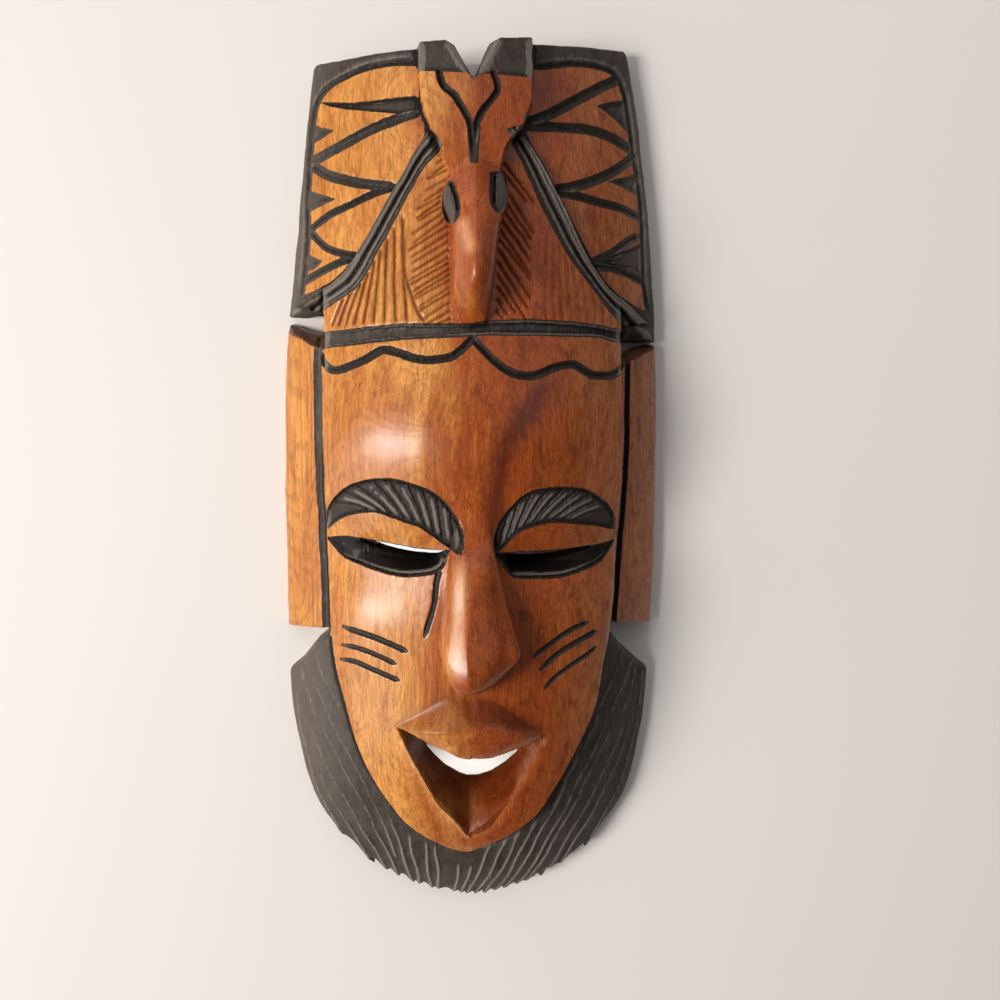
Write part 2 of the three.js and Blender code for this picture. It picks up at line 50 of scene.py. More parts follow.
# The photograph's camera, in the mask's own frame
PHOTO_SIDE = 1000  # pixels
FOCAL = 1026  # pixels
SENSOR = 36  # millimetres
EYE = Vector((-30, 93, 718))
PITCH = math.radians(-7.8)
AIM_X = 20  # where the lens axis meets the back plane

# Driving sizes, as in the solid
TOP_Y = 288.8
TOP_SLOPE = 0.06
RIM_HEIGHT = 12
BAND_Y = 112
HORN_Y = 266
CHIN_Y = -240
LOG_CURVE = 0.004
UNDER_FACE = 48
NOSE_RISE = 30
LIP_RISE = 10
FOREHEAD_RISE = 3.5
CHEEK_RISE = 4.5
SOCKET_DEPTH = 6
CREASE_X = -5  # where the lip's and the mouth's left and right planes meet
CREASE_TOP = (-192, 51)  # place and height of the crease where it meets the mouth's gap
EYE_FLOOR = 54  # height of the eye slits' edges
HOLLOW = {"half_width": 84, "middle_y": 13, "half_length": 245, "depth": 58, "power": 2.6}
EDGE_ROUND = 1.6
THINNEST = 4  # wood left between the carving and the hollow

# Grid and numbers

X = np.arange(-132, 132 + STEP, STEP)
Y = np.arange(-299, 300 + STEP, STEP)
GX, GY = np.meshgrid(X, Y)


def mix(a, b, t):
    return a + (b - a) * t


def unit(t):
    """Held between 0 and 1."""
    return np.clip(t, 0, 1)


def ease(t):
    t = unit(t)
    return t * t * (3 - 2 * t)


def bell(distance, spread):
    return np.exp(-((distance / spread) ** 2))


def faded(along, start, end):
    """Rises over the first share of a line and falls over the last."""
    return ease(along / start) * ease((1 - along) / end)


def smooth_max(a, b, reach):
    """The higher of two surfaces, with a fillet of about that reach where they meet."""
    h = unit(0.5 + 0.5 * (a - b) / reach)
    return mix(b, a, h) + reach * h * (1 - h) * 0.5


def profile(stations):
    """A smooth function through (position, value) stations, listed upwards."""
    at, value = np.array(stations, float).T
    slope = np.concatenate((
        [(value[1] - value[0]) / (at[1] - at[0])],
        (value[2:] - value[:-2]) / (at[2:] - at[:-2]),
        [(value[-1] - value[-2]) / (at[-1] - at[-2])],
    ))

    def height(position):
        p = np.clip(position, at[0], at[-1])
        i = np.clip(np.searchsorted(at, p, side="right") - 1, 0, len(at) - 2)
        span = at[i + 1] - at[i]
        t = (p - at[i]) / span
        t2, t3 = t * t, t * t * t
        left = (2 * t3 - 3 * t2 + 1) * value[i] + (t3 - 2 * t2 + t) * span * slope[i]
        return left + (3 * t2 - 2 * t3) * value[i + 1] + (t3 - t2) * span * slope[i + 1]

    return height


def line(places, gap=2.0):
    """Points along a smooth plan curve through a few places."""
    places = np.array(places, float)
    if len(places) == 2:
        return places
    run = np.concatenate(([0], np.cumsum(np.hypot(*np.diff(places, axis=0).T))))
    at = np.linspace(0, run[-1], max(3, math.ceil(run[-1] / gap) + 1))
    axes = [profile(np.column_stack((run, places[:, k])))(at) for k in (0, 1)]
    return np.column_stack(axes)


def noise(size_x, size_y, seed):
    """A smooth random field from -1 to 1 whose lumps are about that many millimetres."""
    u, v = (X - X[0]) / size_x, (Y - Y[0]) / size_y
    j, i = u.astype(int), v.astype(int)
    lattice = np.random.default_rng(seed).uniform(-1, 1, (i[-1] + 2, j[-1] + 2))
    s, t = ease(v - i)[:, None], ease(u - j)[None]
    low = mix(lattice[np.ix_(i, j)], lattice[np.ix_(i, j + 1)], t)
    high = mix(lattice[np.ix_(i + 1, j)], lattice[np.ix_(i + 1, j + 1)], t)
    return mix(low, high, s)


def blur(field, spread):
    """The field averaged over about that many millimetres."""
    reach = max(1, math.ceil(2.5 * spread / STEP))
    weights = bell(np.arange(-reach, reach + 1) * STEP, spread * 1.4)
    weights /= weights.sum()
    out = np.pad(field, reach, mode="edge")
    out = sum(w * out[k : k + field.shape[0]] for k, w in enumerate(weights))
    return sum(w * out[:, k : k + field.shape[1]] for k, w in enumerate(weights))


# Hand-cut lines waver, so distances are taken from slightly shifted places.
PX = GX + 0.45 * noise(17, 17, 1) + 0.16 * noise(3.1, 3.1, 2)
PY = GY + 0.45 * noise(17, 17, 3) + 0.16 * noise(3.1, 3.1, 4)


def window(low, high, reach):
    """The rows and columns of the grid within reach of a box."""
    rows = np.searchsorted(Y, [low[1] - reach, high[1] + reach])
    columns = np.searchsorted(X, [low[0] - reach, high[0] + reach])
    return slice(*rows), slice(*columns)


def near(points, reach):
    """Distance from each place to a line, up to reach, and how far along the line it is, from 0 to 1."""
    distance = np.full(GX.shape, float(reach))
    along = np.zeros(GX.shape)
    points = np.array(points, float)
    run = np.concatenate(([0], np.cumsum(np.hypot(*np.diff(points, axis=0).T))))
    for k, (a, b) in enumerate(zip(points, points[1:])):
        step = b - a
        length = math.hypot(*step)
        if length == 0:
            continue
        w = window(np.minimum(a, b), np.maximum(a, b), reach + 1)
        px, py = PX[w] - a[0], PY[w] - a[1]
        t = unit((px * step[0] + py * step[1]) / length**2)
        d = np.hypot(px - t * step[0], py - t * step[1])
        closer = d < distance[w]
        distance[w][closer] = d[closer]
        along[w][closer] = (run[k] + t[closer] * length) / run[-1]
    return distance, along


def area(points, reach):
    """Distance inside a closed outline, up to reach, and negative outside it."""
    points = np.array(points, float)
    ring = np.vstack((points, points[:1]))
    distance, _ = near(ring, reach)
    inside = np.zeros(GX.shape, bool)
    for a, b in zip(ring, ring[1:]):
        if a[1] == b[1]:
            continue
        w = window(np.minimum(a, b), (X[-1], max(a[1], b[1])), 1.5)
        py = PY[w]
        crossed = (py >= min(a[1], b[1])) & (py < max(a[1], b[1]))
        cut = a[0] + (py - a[1]) * (b[0] - a[0]) / (b[1] - a[1])
        inside[w] ^= crossed & (PX[w] > cut)
    return np.where(inside, distance, -distance)


def between(upper, lower, reach):
    """Distance inside the outline between two lines that run the same way."""
    return area(np.vstack((upper, lower[::-1])), reach)


def inside_smooth(places, reach):
    """Distance inside a smooth closed outline through a few places."""
    return area(line([*places, places[0]]), reach)


# Outlines

left_edge = profile([
    (-295, -6), (-292, -20), (-287, -39), (-278, -57), (-267, -75), (-255, -87), (-244, -97),
    (-222, -110), (-203, -117), (-186, -121), (-145, -127.5), (-92, -128.2), (0, -128.2), (52, -127),
    (106, -124), (158, -117.5), (198, -113), (243, -107.5), (283, -102),
])
right_edge = profile([
    (-295, 8), (-292, 22), (-287, 37), (-281, 54), (-267, 75), (-257, 86), (-238, 100),
    (-218, 111), (-185, 119), (-159, 123), (-96, 126.5), (-48, 128.2), (37, 128.2), (107, 126),
    (167, 122), (217, 116), (252, 111), (295, 103),
])
face_left = profile([
    (-240, -7), (-239, -12), (-235, -22), (-229, -32), (-222, -42), (-212, -52), (-189, -68),
    (-163, -80), (-133, -88), (-106, -94), (-66, -97), (0, -98), (42, -97), (112, -96),
])
face_right = profile([
    (-240, -5), (-238, -1), (-233, 9), (-228, 19), (-213, 39), (-188, 56), (-163, 70),
    (-136, 82), (-105, 87), (-85, 91), (-42, 95), (34, 97), (112, 97),
])
BAND_OUTER_LEFT = [
    (-28, 235), (-37, 222), (-43, 211), (-56, 190), (-69, 168), (-82, 150), (-93, 141), (-107, 134),
    (-117, 129),
]
BAND_INNER_LEFT = [
    (-20, 222), (-31, 211), (-39, 198), (-53, 173), (-66, 150), (-75, 138), (-84, 132), (-99, 123),
]
BAND_OUTER_RIGHT = [
    (29, 235), (36, 227), (45, 212), (58, 188), (72, 160), (79, 150), (90, 138), (101, 131), (119, 117),
]
BAND_INNER_RIGHT = [
    (20, 232), (28, 218), (34, 205), (48, 176), (63, 153), (81, 132), (90, 122), (99, 113),
]
HEAD_OUTLINE = [
    (-34, 300), (-34, 266), (-32, 247), (-21, 220), (-14, 206), (-8, 190), (9, 190), (15, 206),
    (19, 221), (31, 237), (36, 252), (37, 271), (37, 300),
]


def cap_outline():
    """The hair cap with its two diagonal bands."""
    return np.vstack((
        line(BAND_OUTER_LEFT), [(-97, 122), (-97, BAND_Y - 1), (98, BAND_Y - 1), (99, 116)],
        line(BAND_OUTER_RIGHT)[::-1],
    ))


def face_outline():
    low, high = CHIN_Y, BAND_Y + 1
    ys = np.linspace(low, high, math.ceil((high - low) / 2) + 1)
    return np.vstack((np.column_stack((face_left(ys), ys)), np.column_stack((face_right(ys), ys))[::-1]))


def mask_outline():
    """The silhouette, with the sawn top edge a little out of square."""
    left_y, right_y = TOP_Y - 102 * TOP_SLOPE, TOP_Y + 103 * TOP_SLOPE
    left = np.arange(-295, left_y - 2, 2.0)
    right = np.arange(-295, right_y - 3, 2.0)
    top = [(-101, left_y - 0.5), (-99.5, left_y), (101, right_y), (102.6, right_y - 1.5)]
    return np.vstack((
        np.column_stack((left_edge(left), left)),
        top,
        np.column_stack((right_edge(right), right))[::-1],
    ))


# Heights of the main forms

log_middle = profile([
    (-295, 12.5), (-290, 17), (-280, 26), (-265, 37), (-246, 46), (-230, 53), (-200, 62),
    (-160, 69), (-120, 71), (110, 71), (150, 66), (200, 58), (250, 50), (295, 43),
])
face_middle = profile([
    (-240, 58), (-225, 66), (-200, 74), (-150, 82), (-100, 84), (-60, 84), (0, 88), (60, 89), (112, 80),
])
cap_middle = profile([(112, 80), (150, 74), (190, 67), (235, 58)])
head_middle = profile([(206, 74), (236, 70), (266, 64), (289, 57)])
snout_middle = profile([
    (113, 81), (118, 85), (128, 95), (139, 105), (150, 106), (165, 102), (180, 95), (195, 87),
    (212, 76), (222, 69),
])


def log_top():
    edge = np.where(GX < 0, left_edge(GY), right_edge(GY))
    share = 1 - unit(np.abs(GX / edge)) ** 2
    height = RIM_HEIGHT + (log_middle(GY) - RIM_HEIGHT) * share
    return np.where(GY < BAND_Y - 4, np.minimum(height, UNDER_FACE), height)


def face_top():
    beside = 1 - bell(GX, 20)
    socket = SOCKET_DEPTH * bell(GY + 32, 24) * beside
    forehead = FOREHEAD_RISE * bell(GY - 38, 30)
    cheeks = CHEEK_RISE * bell(np.abs(GX + 2) - 77, 26) * bell(GY + 76, 36)
    return face_middle(GY) - LOG_CURVE * GX**2 - socket + forehead + cheeks


def cap_top():
    return cap_middle(GY) - LOG_CURVE * GX**2


def across_rows(low, high, section):
    """A surface whose cross-section at each height is given as places and heights across."""
    out = np.zeros(GX.shape)
    for row in np.flatnonzero((Y >= low) & (Y <= high)):
        places, heights = section(Y[row])
        out[row] = np.interp(X, places, heights, left=0, right=0)
    return out


def head_form():
    shape = area(HEAD_OUTLINE, 8)
    top = head_middle(GY) - 0.0025 * GX**2
    ramp = log_top() + ease((shape + 0.5) / 1.6) * 60
    return np.minimum(top, ramp)


def snout_form():
    """A muzzle with a lit left flank, a rounded ridge and a blunt end that slopes down."""
    left = profile([
        (113, -8), (118, -11), (128, -14), (150, -15), (174, -15.5), (190, -20), (204, -17),
        (212, -13), (222, -9),
    ])
    right = profile([
        (113, 5), (118, 7), (128, 8.5), (146, 11), (174, 15), (190, 20), (204, 18), (212, 14), (222, 10),
    ])
    ridge = profile([(113, -2), (141, -2), (174, -1), (222, 0)])

    def section(y):
        a, b, c = left(y), ridge(y), right(y)
        places = [a - 1.5, a, mix(a, b, 0.45), mix(a, b, 0.75), b, mix(b, c, 0.4), mix(b, c, 0.8), c, c + 1.2]
        share = np.array([-0.1, 0.5, 0.78, 0.92, 1, 0.94, 0.8, 0.62, -0.1])
        return places, mix(cap_middle(y) - 2, snout_middle(y), share)

    return across_rows(113, 222, section)


def nose_form():
    left = profile([(-118, -8), (-112, -16), (-92, -22), (-57, -19), (-22, -15), (4, -12)])
    right = profile([(-118, -1), (-112, 8), (-100, 19), (-91, 27), (-78, 24), (-52, 17), (-22, 11), (4, 10)])
    ridge = profile([(-118, -5), (-84, -8), (-59, -4), (-28, 5), (-22, 5), (4, 3)])
    rise = profile([
        (-118, 4), (-112, 0.8 * NOSE_RISE), (-104, NOSE_RISE), (-90, 0.95 * NOSE_RISE),
        (-60, 0.66 * NOSE_RISE), (-36, 0.4 * NOSE_RISE), (-22, 3.5), (-8, 0.6), (4, -1.5),
    ])

    def section(y):
        a, b, c = left(y), ridge(y), right(y)
        places = [a - 2.5, a + 1.5, min(-9.5, b - 1), b, mix(b, c, 0.5), c - 1.5, c + 1.5]
        share = np.array([0, 0.78, 0.965, 1, 0.84, 0.6, 0])
        return places, face_middle(y) - 3 + share * (3 + rise(y))

    return across_rows(-118.5, 4, section)


def lip_form(face):
    """Two concave upper planes with a crease between them, and a full lower plane."""
    top = profile([(-53, -144), (-37, -133), (-18, -121), (-6, -123), (8, -123), (24, -134), (44, -151)])
    crest = profile([(-53, -144.5), (-30, -143), (-6, -140), (18, -143), (44, -151.5)])
    low = profile([(-53, -145), (-32, -153), (-12, -162), (2, -163), (17, -161), (30, -157), (44, -152)])
    share = profile([(-53, 0), (-38, 0.7), (-20, 1), (-6, 0.9), (10, 1), (30, 0.7), (44, 0)])
    up = np.clip((GY - crest(GX)) / (top(GX) - crest(GX)), 0, 2)
    down = np.clip((crest(GX) - GY) / (crest(GX) - low(GX)), 0, 1.3)
    above = np.where(up < 1, unit(1 - up) ** 1.4, 0.9 * (1 - up))
    crease = 1.5 * bell(GX - CREASE_X - 1, 2.6) * ease(up * 2.2)
    height = face + LIP_RISE * share(GX) * above * (1 - 0.7 * down**1.5) - crease
    inside = (GX > -53) & (GX < 44) & (GY < top(GX) + 6) & (GY > low(GX) - 4)
    return np.where(inside, height, 0)


LIP_PLANES = [  # outline, strength of the darkening and how far it spills; the darkening is stain and painted shade
    ([(-52, -144.5), (-37, -133), (-18, -121), (-6, -123), (-5.5, -139.5), (-30, -142.5)], 0.5, 2.6),
    ([(-5, -123), (8, -122), (24, -133), (40, -147), (26, -144), (10, -140), (-5, -139.5)], 0.8, 0.6),
]


def stain_and_shade_lip(c):
    """The upper planes are darkened, partly stain and partly painted shade under the nose, the right one most.
    """
    for outline, strength, spill in LIP_PLANES:
        c.add(tint=strength * ease((area(outline, 5) + spill) / 1.6))


def hollow_height():
    """The smooth bowl behind, cut with a gouge."""
    u = np.abs(GX / HOLLOW["half_width"])
    v = np.abs((GY - HOLLOW["middle_y"]) / HOLLOW["half_length"])
    r = (u ** HOLLOW["power"] + v ** HOLLOW["power"]) ** (1 / HOLLOW["power"])
    bowl = HOLLOW["depth"] * unit(1 - r**4) ** 0.6
    gouge = 0.6 * np.abs(noise(11, 34, 21)) * ease(bowl / 20)
    return np.maximum(bowl - gouge, 0)


# Openings

UPPER_LIDS = {
    "left": [(-97, -23), (-85, -21), (-68, -22), (-49, -24), (-36, -25.5), (-18, -25.5)],
    "right": [(11, -28), (28, -28), (48, -29), (65, -29), (83, -28), (94, -26.5)],
}
LOWER_LIDS = {
    "left": [(-97, -24), (-86, -35), (-75, -38), (-62, -41), (-49, -43), (-36, -42.5), (-28, -41),
             (-22.5, -37), (-20, -31), (-18, -26)],
    "right": [(11, -29), (24, -44), (41, -45.5), (55, -45.5), (69, -43.5), (80, -40.5), (87, -36), (94, -27)],
}
SLIT_BOTTOMS = {
    "left": [(-74, -22.8), (-66, -26.0), (-56, -28.3), (-44, -30.2), (-34, -31.2), (-24, -31.3), (-19, -28.5)],
    "right": [(15, -29.3), (20, -32), (35, -33.6), (55, -33.4), (66, -32), (76, -29.7)],
}
LID_RIM = 1.9  # width of the flat rim along the lower lid
MOUTH_RIM = [
    (-53, -144.5), (-50, -151), (-44, -163), (-38, -175), (-31, -188), (-25, -199), (-18, -207),
    (-12, -214), (-6, -223), (5, -220), (12, -211), (18, -201), (25, -190), (31, -178), (38, -164),
    (41, -158), (44, -151.5),
]
LIP_LOW = [
    (44, -151.5), (37, -155), (27, -158), (17, -161), (8, -163), (-2, -163), (-12, -162), (-21, -157),
    (-32, -153), (-44, -147), (-53, -144.5),
]
GAP_LOW = [
    (-34, -152), (-34.5, -164), (-33, -169), (-29, -174.5), (-21, -183), (-11, -190), (-5, -192), (2, -191.8),
    (11, -188.5), (21, -182), (28, -175), (33, -167), (34, -152),
]
GAP_EDGE = 43  # height of the mouth gap's edge
MOUTH_FOOT = (-5.5, -222)
MOUTH_SIDES = [(-38, -175), (25, -190)]  # where the bevels meet the face on each side


def eye_shapes(side):
    """The eye's opening in the face, and the slit that goes right through."""
    upper = line(UPPER_LIDS[side])
    lens = between(upper, line(LOWER_LIDS[side]), 12)
    slit_low = line(SLIT_BOTTOMS[side])
    ends = slit_low[[0, -1], 0]
    over = upper[(upper[:, 0] > ends[0]) & (upper[:, 0] < ends[1])]
    return lens, between(over, slit_low, 12)


def eye_floor(face, lens, slit):
    """A flat rim along the lid, and inside it the wall that slants down to the slit."""
    far = np.clip(-slit, 0, 12)
    rim = np.clip(lens - LID_RIM, 0, 12)
    share = far / (far + rim + 1e-6)
    floor = mix(EYE_FLOOR, face - 1.2, unit(share) ** 0.9)
    return np.where(slit > 0, EYE_FLOOR - 4 * slit, floor)


def plane_through(corners):
    """Heights of the plane through three corners."""
    corners = np.array(corners, float)
    slope_x, slope_y, level = np.linalg.solve(np.column_stack((corners[:, :2], np.ones(3))), corners[:, 2])
    return slope_x * GX + slope_y * GY + level


def mouth_floor(face):
    """Two flat bevels that run down to the gap and meet in a crease."""

    def on_face(x, y):
        return (x, y, sample(face, np.array([x]), np.array([y]))[0] - 0.6)

    crease = [(CREASE_X, *CREASE_TOP), on_face(*MOUTH_FOOT)]
    bevels = [plane_through([*crease, on_face(x, y)]) for x, y in MOUTH_SIDES]
    to_rim, _ = near(MOUTH_RIM, 6)
    at_rim = unit(1 - to_rim / 3.5) ** 2
    floor = mix(np.minimum(np.maximum(*bevels), face - 0.6), face - 0.6, at_rim)
    gap = area(GAP_LOW, 14)
    return mix(floor, GAP_EDGE, unit(1 + gap / 13) ** 1.6)


# Carved lines, with the width and depth of the main ones

BORDER_LINE = (4.6, 1.9)
ZIGZAG_DEPTH = 2.2
HEAD_LINE = (4.2, 2.2)
SCALLOP_LINE = (5.0, 2.2)
BROW_LINES = ((3.0, 2.4), (2.4, 2.2))
BROW_STRAND = (3.4, 2.4)
SCAR_DEPTH = 1.7
TEAR_LINE = (3.9, 1.6)
LID_LINE = (2.2, 1.6)


class Carving:
    """Fields over the grid: depths cut in, how far inside the black stain, and what else colours the wood,
    painted shade and painted highlights included.
    """

    def __init__(self):
        for name in ("depth", "tint", "raw", "ridge", "streak"):
            setattr(self, name, np.zeros(GX.shape))
        self.stain = np.full(GX.shape, -6.0)

    def add(self, **fields):
        """Raise each field to at least these values."""
        for name, values in fields.items():
            setattr(self, name, np.maximum(getattr(self, name), values))

    def groove(self, places, width, depth, sharp=1.25, ends=(0.06, 0.06), spill=0.35):
        """A stained groove, shallower and narrower at its ends; gives the distance to its middle."""
        half = width / 2
        distance, along = near(line(places), half + 4)
        taper = faded(along, *ends)
        cut = depth * unit(1 - (distance / half) ** sharp) * mix(0.25, 1, taper)
        self.add(depth=cut, stain=half * mix(0.6, 1, taper) + spill - distance)
        return distance

    def flute(self, places, spacing, depth, tint=1.0):
        """A narrow unstained valley between rounded ribs, whose floor is darkened with painted shade and pooled
        varnish.
        """
        distance, along = near(line(places), spacing / 2)
        taper = faded(along, 0.08, 0.06)
        valley = unit(1 - distance / (spacing / 2)) ** 2 * taper
        # the tint darkens the valley floor: painted shade, with some pooled varnish
        self.add(depth=depth * valley, tint=tint * unit(1.25 - distance / 1.2) * taper)


WING_PANELS = [
    [
        (-34, 275), (-52, 276), (-65, 275), (-75, 273), (-88, 268), (-94, 262), (-99, 256), (-103, 235),
        (-106, 203), (-107, 180), (-110, 158), (-112, 142), (-112, 136), (-93, 143), (-80, 154), (-67, 172),
        (-48, 204), (-31, 233), (-34, 250),
    ],
    [
        (36, 274), (49, 276), (66, 279), (84, 280), (92, 278), (98, 272), (101, 262), (104, 244), (107, 230),
        (111, 208), (113, 187), (114, 165), (115, 145), (118, 127), (103, 132), (91, 140), (81, 151),
        (66, 176), (46, 213), (33, 238), (37, 254),
    ],
]
BORDER_GROOVES = [
    [(-114, 134), (-112, 143), (-109, 162), (-107.5, 200), (-104.5, 235), (-101, 256), (-96, 264), (-88, 270),
     (-75, 275), (-60, 278), (-36, 279)],
    [(119, 126), (116.5, 146), (115.5, 165), (114.5, 187), (112, 208), (108, 230), (105.5, 244), (102.5, 262),
     (99, 273), (93, 280), (80, 282), (62, 281), (39, 276)],
]
ZIGZAGS = [  # places and width
    ([(-33, 247), (-46, 244), (-65, 237), (-82, 230), (-105, 221)], 6.6),
    ([(-104, 219), (-92, 211), (-79, 206), (-66, 203), (-50, 201)], 6.2),
    ([(-50, 201), (-66, 196), (-79, 191), (-92, 186), (-106, 178)], 4.6),
    ([(-106, 176), (-96, 166), (-86, 161), (-73, 158)], 4.4),
    ([(-73, 158), (-86, 155), (-99, 150), (-111, 144)], 5.0),
    ([(32, 240), (49, 248), (66, 258), (83, 268), (97, 276)], 6.6),
    ([(32, 239), (55, 240), (76, 240), (90, 238), (107, 231)], 6.4),
    ([(111, 229), (98, 219), (83, 210), (65, 203), (51, 200)], 6.4),
    ([(51, 199), (69, 197), (83, 194), (98, 192), (114, 187)], 5.4),
    ([(111, 175), (101, 169), (90, 161), (75, 154)], 6.0),
    ([(76, 153), (94, 152), (116, 145)], 5.0),
]
NOTCHES = [
    [(-105, 247), (-97, 242), (-89, 239.5), (-96, 236), (-106, 231)],
    [(-108, 204), (-100, 200), (-88, 195.5), (-98, 192), (-109, 188)],
    [(-111, 165), (-105, 160), (-98, 157), (-104, 152), (-112, 150)],
    [(101, 263), (92, 260), (81, 256.5), (92, 251), (103, 243)],
    [(114, 218), (102, 213), (89, 208.5), (100, 206), (109, 202)],
    [(114, 171), (104, 166), (92, 159), (88, 155.5), (102, 153), (115, 149)],
]
LEFT_WEDGE = [
    (-101, 259), (-86, 257), (-75, 255.5), (-60, 256), (-37, 257), (-33, 255), (-33, 248), (-46, 246.5),
    (-62, 248), (-81, 251.5), (-92, 255),
]


def carve_wings(c):
    panels = np.maximum(*(inside_smooth(places, 8) for places in WING_PANELS))
    foot = np.where(GX < 0, 117, 101)
    board = np.where(GY > foot, 6.0, -6.0)
    board = np.where((np.abs(GX) < 97) & (GY < 128), -6.0, board)
    for shape in (panels, area(HEAD_OUTLINE, 8), area(cap_outline(), 8)):
        board = np.minimum(board, -shape)
    c.add(stain=board)
    for places in BORDER_GROOVES:
        c.groove(places, *BORDER_LINE, ends=(0.02, 0.02))
    for places, width in ZIGZAGS:
        c.groove(places, width, ZIGZAG_DEPTH, ends=(0.03, 0.03))
    wedge = area(LEFT_WEDGE, 8)
    c.add(depth=2.6 * ease((wedge + 0.4) / 2.2), stain=wedge)
    for outline in NOTCHES:
        shape = area(outline, 6) + 0.3
        c.add(depth=1.9 * ease(shape / 3.2), stain=shape)
    for far in ((114, 168), (114, 160), (114, 154)):
        c.groove([(80, 155.5), far], 2.2, 2.4)


def carve_bands(c):
    """The two diagonal bands: a deep channel between thin ridges."""
    for outer, inner in ((BAND_OUTER_LEFT, BAND_INNER_LEFT), (BAND_OUTER_RIGHT, BAND_INNER_RIGHT)):
        outer, inner = line(outer), line(inner)
        shape = between(outer, inner, 10)
        to_outer, _ = near(outer, 16)
        to_inner, _ = near(inner, 16)
        w = to_inner / (to_inner + to_outer + 1e-6)
        channel = 2.8 * bell(w - 0.52, 0.13)
        side_lines = 1.1 * bell(w - 0.2, 0.06) + 1.1 * bell(w - 0.84, 0.06)
        c.add(depth=(channel + side_lines) * ease((shape + 0.6) / 1.2), stain=shape + 0.3)


HEAD_GROOVES = [
    [(-22, 268), (-19, 258), (-12, 252), (-3, 235), (-1, 216)],
    [(11, 268), (14, 257), (9, 249), (3, 241), (0, 229), (-1, 216)],
]
HEAD_EYES = [  # outlines, and the slit in each
    ([(-16, 202), (-20, 194), (-20.5, 185), (-18, 177), (-14, 174), (-10, 181), (-11, 191)],
     [(-15.5, 200), (-12.5, 190), (-11.5, 181)]),
    ([(8, 206), (18, 206), (20, 192), (18, 185), (13, 180), (8, 184), (7, 195)],
     [(11.5, 204), (10.5, 194), (10.5, 185)]),
]
# a painted highlight: pale colour along the snout's upper left flank
SNOUT_HIGHLIGHT = [(-9.5, 178), (-7, 169), (-5, 160), (-3.4, 151)]


def carve_head(c):
    """The black horns, the lines between them, the eyes, and a painted highlight along the snout's left flank.
    """
    horns = GY - (HORN_Y - 0.04 * GX)
    on_head = area(HEAD_OUTLINE, 8)
    # the head is browner and darker towards its right side: partly the wood's tone, partly painted shade
    c.add(stain=np.minimum(horns, on_head + 1), tint=0.25 * ease(on_head / 3) * ease((GX + 6) / 10))
    for places in HEAD_GROOVES:
        c.groove(places, *HEAD_LINE, ends=(0.01, 0.12))
    c.add(stain=area([(-5, 232), (4, 234), (1.5, 211), (-3.5, 211)], 6))
    for outline, slit in HEAD_EYES:
        shape = inside_smooth(outline, 6)
        c.add(depth=1.5 * ease((shape + 0.3) / 1.6), stain=shape, tint=0.5 * ease(shape / 1.5))
        c.groove(slit, 3.4, 3.6)
    # painted highlight: the snout's flank is lightened where the shine falls
    distance, along = near(SNOUT_HIGHLIGHT, 6)
    c.add(ridge=0.8 * unit(1 - distance / 5) * faded(along, 0.2, 0.3))


FLUTE_FEET = [-91, -87, -82, -76.5, -70.5, -64, -57, -50, -43]
FLUTE_TOPS = [(-83, 132), (-72, 142), (-62, 156), (-53, 172), (-45, 184)]


def left_flutes(hair):
    tops = line(FLUTE_TOPS, 1.0)
    picks = np.linspace(0, len(tops) - 1, len(FLUTE_FEET)).astype(int)
    for foot, top in zip(FLUTE_FEET, tops[picks]):
        bend = (mix(foot, top[0], 0.42), mix(114, top[1], 0.45))
        hair.flute([top, bend, (foot, 114)], 5.2, 1.5)
    hair.flute([(-44, 183), (-45, 165), (-44, 150), (-40, 134), (-36, 122), (-31, 114)], 5.2, 1.5)


def hatching(hair):
    """Slanted cuts on both sides of the snout, none quite like the next."""
    rng = np.random.default_rng(5)
    y = 116.0
    while y < 226:
        jitter = rng.uniform(-1, 1, 5)
        left = np.interp(y, [114, 125, 150, 185, 222], [-28, -36, -42, -42, -24])
        start = (left + 2.5 * jitter[0], y - (0.55 + 0.08 * jitter[1]) * (-14 - left))
        hair.flute([start, (-15, y + 1.2 * jitter[2])], 4.0 + 0.8 * jitter[3], 0.9 + 0.35 * jitter[4], 0.8)
        y += 4.3 + 1.1 * jitter[3]
    y = 124.0
    while y < 224:
        jitter = rng.uniform(-1, 1, 4)
        far = min(27, max(6, 0.62 * (y - 112))) * (0.86 + 0.16 * jitter[0])
        end = (12 + far, y - (1.35 + 0.15 * jitter[1]) * far)
        hair.flute([(12, y), end], 5.0, 1.3 + 0.3 * jitter[2], 0.8)
        y += 7.4 + jitter[3]


def carve_cap(c):
    """Hair: long flutes at the left, hatching beside the snout and faint flutes at the right."""
    hair = Carving()
    left_flutes(hair)
    hatching(hair)
    for t in np.arange(9) / 8:
        x = mix(44, 88, t)
        hair.flute([(mix(46, 78, t), mix(176, 140, t)), (x, 130), (x + 1, 114)], 4.4, 0.5, 0.35)
    off_head = ease(-area(HEAD_OUTLINE, 4) / 1.5) * (c.stain < -0.4) * ease((GY - BAND_Y - 1) / 2)
    c.add(depth=hair.depth * off_head, tint=hair.tint * off_head)


HEADBAND = [
    (-99, 111), (-72, 113), (-47, 115), (-4, 115), (8, 117), (34, 118), (60, 117), (81, 115), (99, 112),
    (99, 103), (81, 107), (46, 108), (14, 108), (-2, 107.5), (-47, 105), (-79, 102), (-99, 100),
]
SCALLOPS = [
    [(-1, 107), (-10, 99), (-16, 95), (-29, 93), (-38, 94), (-47, 97), (-58, 99), (-66, 95), (-76, 90),
     (-89, 86), (-96, 90), (-100, 97)],
    [(-3, 107), (5, 98), (11, 92), (20, 86), (30, 83), (39, 84), (49, 88), (61, 90), (66, 88), (73, 84),
     (84, 83), (91, 84), (99, 89)],
]


